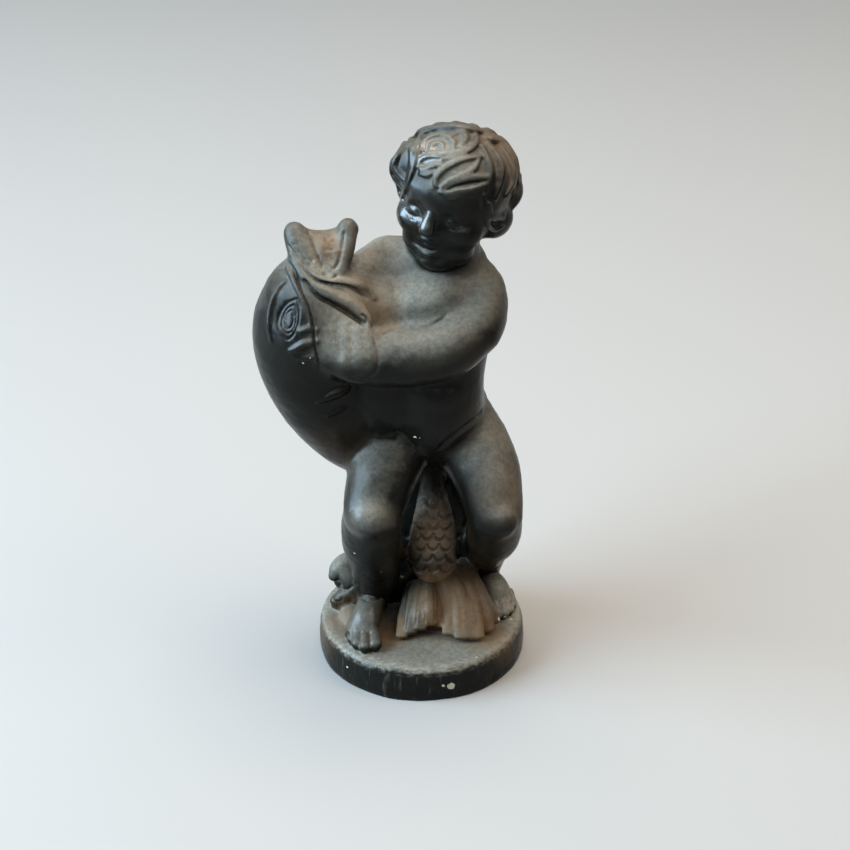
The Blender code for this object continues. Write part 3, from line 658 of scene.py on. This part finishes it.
# Each ray of the tail fin: its root, middle and tip as seen pixels with heights over the plinth, and
# its half-width
FIN_RAYS = [
    ([(411, 588, 30), (405, 613, 18), (402, 636, 6)], 8),
    ([(416, 586, 37), (412, 611, 26), (411, 632, 10)], 9),
    ([(422, 584, 41), (420, 608, 31), (420, 628, 15)], 9),
    ([(430, 582, 45), (430, 606, 37), (431, 623, 20)], 9),
    ([(438, 581, 45), (440, 606, 31), (441, 624, 16)], 10),
    ([(447, 577, 49), (451, 606, 31), (452, 633, 10)], 12),
    ([(455, 570, 53), (462, 605, 34), (464, 637, 8)], 12),
    ([(461, 566, 54), (472, 605, 33), (476, 637, 7)], 12),
    ([(466, 567, 53), (482, 606, 29), (487, 630, 7)], 11),
    ([(469, 571, 48), (488, 608, 24), (494, 622, 9)], 9),
]


def tail_fin(clay):
    """The tail fin: a fan of rays that spreads over the plinth, on a mound that carries it."""
    for ray, width in FIN_RAYS:
        shapes = zip(ray, ((width, 9), (width, 6), (width, 4)))
        add_limb(clay, [(*at_height(*place), *shape) for place, shape in shapes], flat=(0, -0.35, 1))
    add_balls(clay, [((24, -16, 2), (44, 30, 22)), ((34, 6, 30), (40, 26, 24))])


# Each foot: its ankle, its heel and where its toes end, the big toe first
FEET = [
    (ANKLE_R, (-54, 12, 16), [(-55, -82, 8), (-67, -86, 8), (-76, -80, 8), (-82, -70, 7), (-86, -58, 7)]),
    (ANKLE_L, (74, 52, 16), [(80, -18, 9), (90, -20, 9), (99, -17, 8), (106, -9, 7), (110, 2, 7)]),
]


def foot(clay, ankle, heel, toes):
    """A foot from its heel over its arch to a row of toes."""
    x, y = (sum(toe[k] for toe in toes) / len(toes) for k in range(2))
    arch = (0.5 * (ankle[0] + x), 0.5 * (ankle[1] + y), 22, 18, 19)
    ball = (x, y + 12, 12, 19, 11)
    add_limb(clay, [(*heel, 18, 16), arch, ball], flat=(0, 0, 1))
    for i, toe in enumerate(toes):
        size = 8.6 - 0.5 * i
        root = (0.2 * x + 0.8 * toe[0], toe[1] + 18, toe[2] + 5)
        add_limb(clay, [(*root, size), (*toe, size)])


def part_toes(skin, toes):
    """Presses a groove between each toe and the next."""
    for a, b in zip(toes, toes[1:]):
        x, y, z = (0.5 * (a[k] + b[k]) for k in range(3))
        skin.stroke([(x, y + 14, z + 10), (x, y + 8, z + 8), (x, y, z + 5), (x, y - 8, z)], 2.6, 1.5)


def hand(clay):
    """The right hand's fingers and thumb, spread over the dolphin's back."""
    for i, longer in enumerate((0, 4, 2, -5)):
        height = 368 - 13 * i
        add_limb(clay, [(-144, 47, height - 2, 8), (-160, 42, height - 4, 8.5),
                        (-171 - 0.5 * longer, 32 - longer, height - 7, 7.5),
                        (-177 - 0.4 * longer, 22 - 2 * longer, height - 10, 6.5)])
    add_limb(clay, [(-134, 48, 366, 9), (-142, 48, 384, 8), (-152, 42, 397, 6.5)])


# The plinth's side as shares of its radius and heights above its underside, worn round at the rim. What is
# below the underside is cut away. Then how far it stays inside the frame's box, and its number of corners.
PLINTH_OUTLINE = [(0.985, -6), (0.99, 0), (1, 5), (1, 22), (0.994, 32), (0.98, 39), (0.955, 43), (0.9, 44)]
PLINTH_MARGIN = 0.4
PLINTH_SIDES = 160


def plinth(clay):
    """The round plinth, ring by ring from below."""
    lump = bmesh.new()
    edges = None
    for i, (reach, height) in enumerate(PLINTH_OUTLINE):
        ring = bmesh.ops.create_circle(
            lump, cap_ends=i in (0, len(PLINTH_OUTLINE) - 1), segments=PLINTH_SIDES,
            radius=reach * (PLINTH_RADIUS - PLINTH_MARGIN),
            matrix=Matrix.Translation((0, 0, height - PLINTH)))["verts"]
        edges = bridged(lump, ring, edges)
    bmesh.ops.recalc_face_normals(lump, faces=lump.faces)
    clay.take(lump)


# Hollows pressed into the masses, each with a radius and a depth: the cherub's eye sockets, and the
# dolphin's
HOLLOWS = [(HEAD_FRAME @ Vector((-19, -54, -10)), 14, 3.5), (HEAD_FRAME @ Vector((19, -54, -10)), 14, 3.5),
           ((-150, -66, 436), 24, 4)]

# How uneven the casting is: the size of its waves, their height, and where that isn't all over, a place
# and a reach
UNEVEN = [(45, 1), (9, 0.22), (7, 3, (-100, -10, 480), 30), (7, 1.5, (14, -14, 150), 40),
          (24, 4, (14, 90, 90), 80)]

# Scrolls of rock beside the right foot
ROCK_CURLS = [
    [(-66, 40, 30, 20), (-80, 34, 44, 18), (-92, 26, 50, 14), (-101, 19, 49, 11), (-106, 14, 42, 7)],
    [(-98, 18, 52, 9), (-90, 14, 42, 11), (-82, 9, 28, 12), (-74, 6, 18, 14)],
    [(-103, 7, 10, 9), (-94, 7, 17, 10), (-84, 8, 22, 11), (-72, 14, 26, 12)],
    [(-66, 34, 10, 26), (-82, 28, 4, 22), (-96, 12, -2, 16)],
    [(-70, 44, 12, 22), (-86, 38, 24, 16), (-96, 34, 22, 12)],
    [(-60, 30, -8, 20), (-84, -6, -8, 19), (-76, -34, -9, 15)],
]

# Grooves as a path on the skin, a half-width and a depth
GROOVES = [
    ([(-4, -42, 249), (-15, -43, 265), (-26, -38, 275), (-41, -30, 278), (-58, -39, 276)], 6, 3),
    ([(19, -38, 246), (28, -47, 262), (42, -47, 276), (58, -35, 284), (74, -12, 288)], 6, 3),
    ([(15, 74, 304), (15, 82, 280), (15, 82, 258), (14, 70, 238)], 8, 5),
]

# Carved lines as seen paths, a half-width and a depth, or a height where it is negative
LIPS_AND_LIDS = [
    ([(410, 240), (416, 245), (424, 249), (433, 251), (438, 250)], 2.5, 2.2),
    ([(413, 238), (419, 242), (426, 245), (433, 248)], 2.5, -0.6),
    ([(416, 249), (424, 254), (432, 256)], 4, -0.8),
    ([(419, 258), (427, 259), (435, 257)], 3, 0.8),
    ([(444, 220), (450, 225), (457, 227), (465, 224)], 2, 1),
    ([(446, 226), (453, 230), (460, 230), (465, 227)], 2, 0.7),
    ([(404, 209), (409, 214), (415, 217), (420, 216)], 2, 1),
    ([(406, 214), (411, 219), (417, 220)], 2, 0.7),
]
DOLPHIN_LINES = [
    ([(299, 261), (307, 271), (315, 279), (323, 283), (333, 285), (343, 286), (353, 289), (362, 294),
      (370, 301)], 3, 4),
    ([(301, 277), (307, 285), (314, 293), (322, 299), (332, 304), (342, 310), (352, 316), (361, 322),
      (369, 327)], 4, 6),
    ([(291, 264), (296, 277), (301, 289), (306, 300), (310, 311), (313, 323), (314, 336), (315, 350),
      (318, 364), (320, 374)], 3, 4.5),
    ([(373, 333), (376, 346), (378, 360), (376, 371), (369, 378), (359, 380), (349, 376)], 2.5, 1.4),
    ([(297, 299), (288, 303), (281, 312), (278, 324), (281, 334), (287, 340), (293, 335), (298, 323),
      (299, 310), (297, 299)], 2, 1.5),
    ([(294, 305), (287, 309), (283, 317), (282, 326), (286, 333), (291, 332), (295, 324), (296, 314),
      (294, 305)], 1.8, 1.3),
    ([(291, 310), (286, 315), (285, 323), (288, 329), (292, 325), (293, 317), (291, 310)], 1.8, 1.5),
    ([(307, 229), (311, 238), (315, 248), (319, 259), (325, 270)], 3, 3),
    ([(344, 229), (343, 240), (341, 252), (338, 263), (333, 271)], 3, 2.5),
    ([(322, 273), (330, 278), (338, 275)], 2.5, 2),
    ([(361, 314), (366, 318), (367, 324)], 2, 2.5),
    ([(287, 243), (294, 252), (302, 261), (311, 270)], 1.8, 1.6),
    ([(291, 241), (297, 250), (304, 259), (312, 269)], 1.8, 1.6),
    ([(295, 239), (301, 248), (307, 257), (313, 266)], 1.8, 1.4),
    ([(294, 243), (298, 246), (303, 254), (309, 263)], 1.5, 1.2),
    ([(349, 322), (351, 340), (352, 366)], 6, 1),
    ([(337, 318), (339, 338), (341, 362)], 6, 1),
    ([(362, 328), (365, 346), (366, 370)], 6, 1),
]
ROCK_LINES = [
    ([(343, 593), (338, 591), (333, 596), (336, 602), (342, 600), (341, 596)], 1.8, 1.5),
    ([(357, 583), (350, 588), (344, 590)], 2.5, 2),
]
FIN_LINES = [
    ([(415, 592), (409, 612), (406, 633)], 2, 1.3),
    ([(420, 590), (417, 610), (415, 629)], 2, 1.3),
    ([(426, 589), (425, 608), (425, 625)], 2, 1.3),
    ([(434, 588), (435, 606), (436, 623)], 2, 1.5),
    ([(438, 590), (441, 606), (443, 625)], 3.5, 1.8),
    ([(452, 578), (460, 603), (463, 634)], 3.5, 0.9),
    ([(460, 576), (473, 602), (478, 632)], 3.5, 0.9),
]
BODY_LINES = [
    ([(378, 335), (388, 331), (400, 328), (413, 327), (425, 326), (438, 321), (450, 313)], 3, 2.6),
    ([(357, 597), (366, 600), (376, 600), (385, 597)], 4, 2),
]
SEEN_STROKES = LIPS_AND_LIDS + DOLPHIN_LINES + ROCK_LINES + FIN_LINES + BODY_LINES


def carved(voxel, carving):
    """The whole casting as one fine skin, in the drawing's millimetres."""
    base = masses()
    for place, radius, depth in HOLLOWS:
        base.press(place, radius, depth)
    base.settle()
    clay = Clay()
    clay.points.extend(base.points.tolist())
    clay.faces.extend(base.faces())
    plinth(clay)
    hair(clay, base)
    face(clay)
    for path, radii in SEEN_RIDGES:
        add_seen_ridge(clay, base, path, radii)
    tail_fin(clay)
    hand(clay)
    for ankle, heel, toes in FEET:
        foot(clay, ankle, heel, toes)
    for curl in ROCK_CURLS:
        add_limb(clay, curl)
    skin = fused(clay, voxel)
    skin.fill_creases(SKIN_FILLING)
    skin.smooth(1)
    skin.settle()
    for path, width, depth in GROOVES:
        skin.stroke(path, width, depth * carving, reach=12)
    for path, width, depth in SEEN_STROKES + scale_lines():
        skin.stroke(skin.seen(path), width, depth * carving)
    for _, _, toes in FEET:
        part_toes(skin, toes)
    skin.smooth(1)
    for size, height, *where in UNEVEN:
        skin.uneven(size, height * carving, *where)
    return skin


# Where the paint is chipped: seen pixels and the chip's radius in pixels
CHIPS = [((451, 686), 4.2), ((443, 686), 1.8), ((347, 667), 1.3), ((402, 577), 1.7), ((381, 572), 0.9),
         ((354, 553), 0.9), ((499, 619), 2), ((505, 617), 1.6), ((511, 619), 1.8), ((415, 437), 1.5),
         ((303, 363), 1.1), ((420, 438), 0.8), ((477, 657), 0.8), ((310, 358), 0.6)]


def in_metres(place):
    """A place of the drawing in the frame's metres."""
    return MM * Vector((place[0], place[1], place[2] + PLINTH))


# How often the skin is smoothed to find its broad hollows and its fine ones, each named as an attribute
HOLLOW_ROUNDS = {"broad_hollow": 40, "fine_hollow": 4}


def model_casting(sizes):
    """The fine casting in metres, its hollows as attributes, and where its chips are in the drawing."""
    skin = carved(sizes.skin_net / MM, sizes.carving)
    skin.settle()
    pixel_size = Vector(EYE).length / FOCAL
    chips = [(skin.seen([pixel])[0], radius * pixel_size, 1) for pixel, radius in CHIPS]
    hollows = {name: skin.hollowness(rounds) for name, rounds in HOLLOW_ROUNDS.items()}
    mesh = thinned(skin.finished(), sizes.triangles)
    cut_level(mesh, -PLINTH)
    first_corner = skin.corners[:, 0]
    nearest = [first_corner[skin.tree.find_nearest(v.co)[2]] for v in mesh.vertices]
    for name, depths in hollows.items():
        layer = mesh.attributes.new(name, "FLOAT", "POINT")
        layer.data.foreach_set("value", depths[nearest])
    mesh.transform(Matrix.Translation((0, 0, PLINTH * MM)) @ Matrix.Scale(MM, 4))
    points = np.clip(rows_of(mesh.vertices, "co", 3), LOW, HIGH)
    mesh.vertices.foreach_set("co", points.ravel())
    mesh.shade_smooth()
    mesh.update()
    return linked("cherub_casting", mesh), chips


class Term:
    """A socket's value, so that shader maths reads as Python."""

    def __init__(self, finish, socket):
        self.finish = finish
        self.socket = socket

    def maths(self, operation, *values):
        return self.finish.node("ShaderNodeMath", {"operation": operation}, dict(enumerate(values)))

    def __add__(self, other):
        return self.maths("ADD", self, other)

    def __sub__(self, other):
        return self.maths("SUBTRACT", self, other)

    def __rsub__(self, other):
        return self.maths("SUBTRACT", other, self)

    def __mul__(self, other):
        return self.maths("MULTIPLY", self, other)

    __radd__ = __add__
    __rmul__ = __mul__

    def at_most(self, other):
        return self.maths("MINIMUM", self, other)

    def between(self, low, high):
        """0 below low, 1 above high, and a soft step from one to the other."""
        return self.finish.node("ShaderNodeMapRange", {"interpolation_type": "SMOOTHSTEP"},
                                {"Value": self, "From Min": low, "From Max": high})


class Finish:
    """A material, with the nodes that make its surface."""

    def __init__(self, name):
        self.material = bpy.data.materials.new(name)
        self.material.use_nodes = True
        self.tree = self.material.node_tree
        self.shader = self.tree.nodes["Principled BSDF"]

    def node(self, kind, settings, values, output=0):
        """Adds a node, its settings first, then its sockets' values or links, and gives an output."""
        node = self.tree.nodes.new(kind)
        for name, value in settings.items():
            setattr(node, name, value)
        for name, value in values.items():
            self.feed(node.inputs[name], value)
        return Term(self, node.outputs[output])

    def feed(self, socket, value):
        if isinstance(value, Term):
            self.tree.links.new(value.socket, socket)
        else:
            socket.default_value = value

    def place(self):
        return self.node("ShaderNodeTexCoord", {}, {}, "Object")

    def part_of(self, vector, axis):
        return self.node("ShaderNodeSeparateXYZ", {}, {"Vector": vector}, axis)

    def depth(self, name):
        return self.node("ShaderNodeAttribute", {"attribute_name": name}, {}, "Fac")

    def noise(self, place, size, detail, roughness=0.5, stretch=(1, 1, 1)):
        """Cloudy noise from 0 to 1, whose patches are about size metres across."""
        place = self.node("ShaderNodeMapping", {}, {"Vector": place, "Scale": stretch})
        return self.node("ShaderNodeTexNoise", {}, {"Vector": place, "Scale": 1 / size,
                         "Detail": detail, "Roughness": roughness}, "Fac")

    def vector(self, operation, values, output="Vector"):
        return self.node("ShaderNodeVectorMath", {"operation": operation}, values, output)

    def ragged(self, place, size, shift):
        """The place moved by up to about a shift, differently from spot to spot, for ragged edges."""
        colour = self.node("ShaderNodeTexNoise", {}, {"Vector": place, "Scale": 1 / size, "Detail": 2.0},
                           "Color")
        way = self.vector("SUBTRACT", {0: colour, 1: (0.5, 0.5, 0.5)})
        return self.vector("ADD", {0: place, 1: self.vector("SCALE", {0: way, "Scale": shift})})

    def mix(self, share, under, over):
        """The colour over laid on the colour under, by a share from 0 to 1."""
        return self.node("ShaderNodeMix", {"data_type": "RGBA"}, {0: share, 6: under, 7: over}, 2)

    def patches(self, place, patches, sharp=0.2):
        """The sum of round patches, each with a centre, a reach and a strength in the drawing.

        A patch is full about its centre and falls over the outer part that sharp leaves."""
        total = 0
        for centre, reach, strength in patches:
            far = self.vector("DISTANCE", {0: place, 1: in_metres(centre)}, "Value")
            total = (1 - far.between(sharp * reach * MM, reach * MM)) * strength + total
        return total


# Where the paint still shines, where dust lies thickest and is also lightened as a painted sheen on the
# chest, shoulders and knees, and where rust has come through: a place in the drawing, how far the patch
# reaches, and how strong it is
SHINY = [
    ((0, -58, 541), 24, 0.8), ((-18, -34, 544), 42, 1), ((4, -20, 608), 30, 0.8),
    ((-45, -10, 596), 30, 0.5), ((-130, -60, 396), 60, 0.12), ((-78, -95, 184), 30, 0.6),
    ((-60, -60, 26), 40, 0.3),
]
DUST_AND_SHEEN_PATCHES = [
    ((-98, 10, 66), 42, 0.5), ((-52, -105, 156), 34, 0.7), ((5, -64, 539), 12, 0.8),
    ((90, 10, 562), 40, 0.4), ((-80, -10, 501), 25, 0.5), ((76, -20, 416), 40, 0.3),
    ((-66, -62, 18), 50, 0.08), ((98, -6, 18), 42, 0.7), ((14, -30, 136), 50, 0.9),
    ((10, -55, 426), 80, 0.3), ((-10, -30, 461), 50, 0.4), ((70, 0, 461), 45, 0.4),
    ((-48, 11, 476), 60, 0.8), ((-43, -47, 429), 40, 0.6), ((96, -62, 206), 50, 0.35),
    ((80, -30, 256), 70, 0.3), ((-55, -100, 191), 36, 0.7), ((-82, -80, 411), 55, 0.5),
    ((-90, -50, 456), 55, 0.6), ((-120, -10, 486), 50, 0.4), ((36, -43, 594), 45, 0.25),
    ((20, -20, 621), 50, 0.25),
]
RUSTY = [
    ((-104, -12, 486), 34, 0.7), ((-43, -47, 429), 30, 0.4), ((-100, -40, 256), 60, 0.08),
    ((-75, -40, 444), 36, 0.4), ((14, -30, 136), 60, 0.45), ((35, -35, 41), 70, 0.9),
    ((-34, -50, 4), 34, 0.8), ((80, -55, 2), 45, 0.6), ((-95, -30, 2), 50, 0.4),
    ((85, 20, 596), 60, 0.25), ((96, -59, 208), 50, 0.2),
]

# The paint's own gloss: how strongly it reflects, its clear coat where it is dull, and the coat's blur
PAINT_IOR = 1.2
DULL_COAT = 0.04
COAT_BLUR = 0.24


def plinth_wear(finish, place, height):
    """How dusty the plinth's worn rim is, and the drips down its side."""
    top = PLINTH * MM
    edge = PLINTH_RADIUS * MM
    radial = finish.vector("LENGTH", {0: finish.vector("MULTIPLY", {0: place, 1: (1, 1, 0)})}, "Value")
    scratched = finish.noise(place, 0.004, 4, 0.7, stretch=(0.35, 1, 1)).between(0.44, 0.62)
    rim = radial.between(edge - 17 * MM, edge - 7 * MM) * height.between(top - 12 * MM, top - 3 * MM)
    rim = rim * scratched * (1 - height.between(top + 2 * MM, top + 6 * MM))
    drips = finish.noise(place, 0.005, 3, 0.7, stretch=(1, 1, 0.12)).between(0.56, 0.78)
    side = radial.between(edge - 5 * MM, edge - 1.5 * MM) * (1 - height.between(top - 14 * MM, top))
    return rim * 0.6 + side * drips * 0.2


def iron_paint(colours, grain, chips):
    """Black paint on cast iron, dusty where it faces up and in creases, the dust on top lightened as a
    painted sheen and thinned in fine creases as painted shade, rusty and chipped in places.
    """
    finish = Finish("painted_cast_iron")
    place = finish.place()
    up = finish.part_of(finish.node("ShaderNodeTexCoord", {}, {}, "Normal"), "Z")
    height = finish.part_of(place, "Z")
    broad = finish.depth("broad_hollow")
    fine = finish.depth("fine_hollow")
    clouds = finish.noise(place, 0.05, 4, 0.6)
    patches = finish.noise(place, 0.012, 4, 0.65)
    mottled = finish.noise(place, 0.005, 5, 0.75).between(0.32, 0.66)
    grit = finish.noise(place, 0.0015, 3, 0.7)
    brushed = finish.noise(place, 0.02, 3, 0.6, stretch=(0.5, 0.5, 9))
    streaked = finish.noise(place, 0.006, 3, 0.6, stretch=(1, 0.25, 0.25)).between(0.4, 0.62)
    low_down = 1 - height.between((PLINTH + 1) * MM, (PLINTH + 18) * MM)

    # Dust on what faces up, made lighter there also as a painted sheen
    dust_and_sheen_on_top = (up + (clouds - 0.5) * 0.6 + (patches - 0.5) * 0.5).between(0.2, 0.85)
    in_creases = (fine * 2 + broad * 0.5 + (patches - 0.5) * 0.8).between(0.5, 1.7)
    dust_and_sheen = dust_and_sheen_on_top * (0.3 + 0.4 * low_down) + in_creases * 0.12 + plinth_wear(finish, place, height)
    # Dust patches, partly a painted sheen on the chest, shoulders and knees
    dust_and_sheen = finish.patches(place, DUST_AND_SHEEN_PATCHES) * (0.45 + up).between(0, 0.85) + dust_and_sheen
    # Painted shade: dust is thinned in fine creases so that they stay dark
    painted_crease_shade = 1 - 0.6 * fine.between(0.12, 0.6)
    dust_and_sheen = dust_and_sheen.at_most(0.95) * (0.5 + 0.4 * mottled + 0.4 * grit) * painted_crease_shade

    rust = finish.patches(place, RUSTY) * (clouds * 0.7 + patches * 0.5 + mottled * 0.4 + streaked * 0.4)
    rust = rust.at_most(0.8) * (0.6 + 0.6 * grit)
    chipped = finish.patches(finish.ragged(place, 0.006, 0.004), chips, 0.8).at_most(1)

    colour = finish.mix(dust_and_sheen, tuple(colours.paint), tuple(colours.dust_and_sheen))
    colour = finish.mix(rust, colour, tuple(colours.rust))
    colour = finish.mix(chipped, colour, tuple(colours.chip))
    finish.feed(finish.shader.inputs["Base Color"], colour)
    roughness = 0.24 + 0.1 * patches + 0.24 * dust_and_sheen + 0.25 * rust + 0.4 * chipped
    finish.feed(finish.shader.inputs["Roughness"], roughness.at_most(0.85))
    coat = (DULL_COAT + finish.patches(place, SHINY)).at_most(1)
    finish.feed(finish.shader.inputs["Coat Weight"], coat)
    finish.shader.inputs["Coat Roughness"].default_value = COAT_BLUR
    finish.shader.inputs["Metallic"].default_value = 0
    finish.shader.inputs["IOR"].default_value = PAINT_IOR
    bump_height = clouds * 0.8 + patches * 0.8 + grit * (0.3 + 0.3 * dust_and_sheen) + brushed * 0.3 * low_down
    bump = finish.node("ShaderNodeBump", {}, {"Strength": 0.5, "Distance": grain, "Height": bump_height})
    finish.feed(finish.shader.inputs["Normal"], bump)
    return finish.material


def pale_floor(colour):
    """Dull paper that is a little paler in clouds."""
    finish = Finish("pale_floor")
    paler = finish.noise(finish.place(), 0.6, 2) * 0.06
    finish.feed(finish.shader.inputs["Base Color"], finish.mix(paler, tuple(colour), (0.38, 0.37, 0.35, 1)))
    finish.shader.inputs["Roughness"].default_value = 1
    finish.shader.inputs["Specular IOR Level"].default_value = 0
    return finish.material


# The floor: a ring in its flat part, how far that part goes, the radius of the bend up into the backdrop,
# and the backdrop's height
FLOOR_RING = 2.5
FLAT = 5.5
BEND = 1.5
BACKDROP = 4


def floor(colour):
    """A pale round floor that curves up into a backdrop on every side."""
    lump = bmesh.new()
    outline = [(0, 0), (FLOOR_RING, 0)]
    for a in np.radians(np.arange(0, 91, 6)):
        outline.append((FLAT + BEND * math.sin(a), BEND - BEND * math.cos(a)))
    outline.append((FLAT + BEND, BACKDROP))
    line = [lump.verts.new((reach, 0, height)) for reach, height in outline]
    edges = [lump.edges.new(pair) for pair in zip(line, line[1:])]
    bmesh.ops.spin(lump, geom=line + edges, axis=(0, 0, 1), cent=(0, 0, 0), angle=math.tau, steps=96,
                   use_merge=True)
    bmesh.ops.remove_doubles(lump, verts=lump.verts, dist=0.0001)
    bmesh.ops.recalc_face_normals(lump, faces=lump.faces)
    bmesh.ops.reverse_faces(lump, faces=lump.faces)
    mesh = bpy.data.meshes.new("floor")
    lump.to_mesh(mesh)
    lump.free()
    mesh.shade_smooth()
    obj = linked("floor", mesh)
    mesh.materials.append(pale_floor(colour))


# The studio's soft lights: where each hangs, what it points at, its two sizes, how many times the key
# power it has, and its colour. The world around them is white and this bright.
LIGHTS = {
    "key_light": ((-3.9, -0.97, 1.95), (0, 0, 0.35), (3.8, 3.5), 13, (0.56, 0.79, 1)),
    "fill_light": ((3, -0.7, 3.6), (0, 0, 0.35), (2.4, 2.4), 1.2, (1, 0.88, 0.7)),
    "top_light": ((0.1, 0.5, 3.4), (0, 0, 0.35), (2, 1.8), 1.6, (1, 0.92, 0.83)),
    "sky_light": ((0, 0.5, 5), (0, 0.5, 0), (7, 7), 3, (1, 0.96, 0.92)),
}
WORLD_LIGHT = 0.35


def soft_light(name, place, aim, size, power, colour):
    """A rectangular light that points at its aim."""
    light = bpy.data.lights.new(name, "AREA")
    light.shape = "RECTANGLE"
    light.size, light.size_y = size
    light.energy = power
    light.color = colour
    obj = linked(name, light)
    obj.location = place
    obj.rotation_euler = (Vector(aim) - Vector(place)).to_track_quat("-Z", "Y").to_euler()


def camera(stage):
    """The camera, which looks along +Y and down."""
    lens = bpy.data.cameras.new("camera")
    lens.sensor_width = 36
    lens.lens = stage.lens
    obj = linked("camera", lens)
    obj.location = stage.camera_place
    obj.rotation_euler = (math.radians(90) - stage.camera_tilt, 0, 0)
    bpy.context.scene.camera = obj


class CastingSizes(bpy.types.PropertyGroup):
    """How finely and how deeply the casting is carved."""

    skin_net: FloatProperty(name="Skin net", description="Mesh size that the skin is carved in",
                            default=0.0012, min=0.0008, unit="LENGTH")
    carving: FloatProperty(name="Carving", description="Depth of the carving as a share of the drawn depth",
                           default=1, min=0, max=2, subtype="FACTOR")
    triangles: IntProperty(name="Triangles", description="Most triangles that the casting keeps",
                           default=190000, min=20000)
    grain: FloatProperty(name="Grain", description="Height of the casting's grain and brush marks",
                         default=0.0006, min=0, unit="LENGTH")


def colour_property(name, description, colour):
    """A colour that a user would change."""
    return FloatVectorProperty(name=name, description=description, size=4, subtype="COLOR",
                               default=(*colour, 1), min=0, max=1)


class CastingColours(bpy.types.PropertyGroup):
    """Colours of the paint and of what lies on it, and of the floor."""

    paint: colour_property("Paint", "Black enamel", (0.0045, 0.0043, 0.0032))
    # The dust colour is made paler so that it also stands in for a painted sheen
    dust_and_sheen: colour_property("Dust", "Grey-brown dust and worn paint", (0.196, 0.178, 0.142))
    rust: colour_property("Rust", "Rust that has come through the paint", (0.16, 0.09, 0.042))
    chip: colour_property("Chips", "Pale primer where the paint has chipped", (0.42, 0.36, 0.28))
    floor: colour_property("Floor", "Floor and backdrop", (0.3, 0.288, 0.272))


class StageSettings(bpy.types.PropertyGroup):
    """The camera's place and lens, and the lights' power."""

    camera_place: FloatVectorProperty(name="Camera", description="Where the camera stands", size=3,
                                      default=(0.0044, -2.0, 1.43), subtype="TRANSLATION")
    camera_tilt: FloatProperty(name="Tilt", description="How far the camera looks down",
                               default=LOOKS_DOWN, subtype="ANGLE")
    lens: FloatProperty(name="Lens", description="Focal length in millimetres", default=83.86,
                        subtype="DISTANCE_CAMERA")
    key_power: FloatProperty(name="Key light", description="Power of the main light", default=60,
                             subtype="POWER")


class STATUE_OT_model_casting(bpy.types.Operator):
    """Carves and paints the cherub, the dolphin and their plinth in place of the frame's solid"""

    bl_idname = "statue.model_casting"
    bl_label = "Model the casting"

    def execute(self, context):
        scene = context.scene
        casting, chips = model_casting(scene.casting_sizes)
        casting.data.materials.clear()
        casting.data.materials.append(iron_paint(scene.casting_colours, scene.casting_sizes.grain, chips))
        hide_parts(NODE)
        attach(casting, "root")
        return {"FINISHED"}


class STATUE_OT_set_stage(bpy.types.Operator):
    """Sets the floor, the soft lights and the camera"""

    bl_idname = "statue.set_stage"
    bl_label = "Set the stage"

    def execute(self, context):
        scene = context.scene
        stage = scene.statue_stage
        floor(scene.casting_colours.floor)
        camera(stage)
        for name, (place, aim, size, power, colour) in LIGHTS.items():
            soft_light(name, place, aim, size, power * stage.key_power, colour)
        world = bpy.data.worlds.new("studio")
        world.use_nodes = True
        background = world.node_tree.nodes["Background"]
        background.inputs["Color"].default_value = (1, 1, 1, 1)
        background.inputs["Strength"].default_value = WORLD_LIGHT
        scene.world = world
        scene.view_settings.view_transform = "Standard"
        return {"FINISHED"}


class STATUE_PT_panel(bpy.types.Panel):
    """Lists the statue's steps, sizes and colours"""

    bl_idname = "STATUE_PT_panel"
    bl_label = "Cherub"
    bl_space_type = "VIEW_3D"
    bl_region_type = "UI"
    bl_category = "Cherub"

    def draw(self, context):
        scene = context.scene
        for group in (getattr(scene, name) for name in SETTINGS):
            for name in group.bl_rna.properties.keys():
                if name not in ("rna_type", "name"):
                    self.layout.prop(group, name)
        self.layout.operator(STATUE_OT_model_casting.bl_idname)
        self.layout.operator(STATUE_OT_set_stage.bl_idname)


SETTINGS = {"casting_sizes": CastingSizes, "casting_colours": CastingColours, "statue_stage": StageSettings}
CLASSES = (*SETTINGS.values(), STATUE_OT_model_casting, STATUE_OT_set_stage, STATUE_PT_panel)


def register():
    for cls in CLASSES:
        bpy.utils.register_class(cls)
    for name, group in SETTINGS.items():
        setattr(bpy.types.Scene, name, PointerProperty(type=group))


def unregister():
    for name in SETTINGS:
        delattr(bpy.types.Scene, name)
    for cls in reversed(CLASSES):
        bpy.utils.unregister_class(cls)


def main():
    register()
    bpy.ops.statue.model_casting()
    bpy.ops.statue.set_stage()


if __name__ == "__main__":
    main()
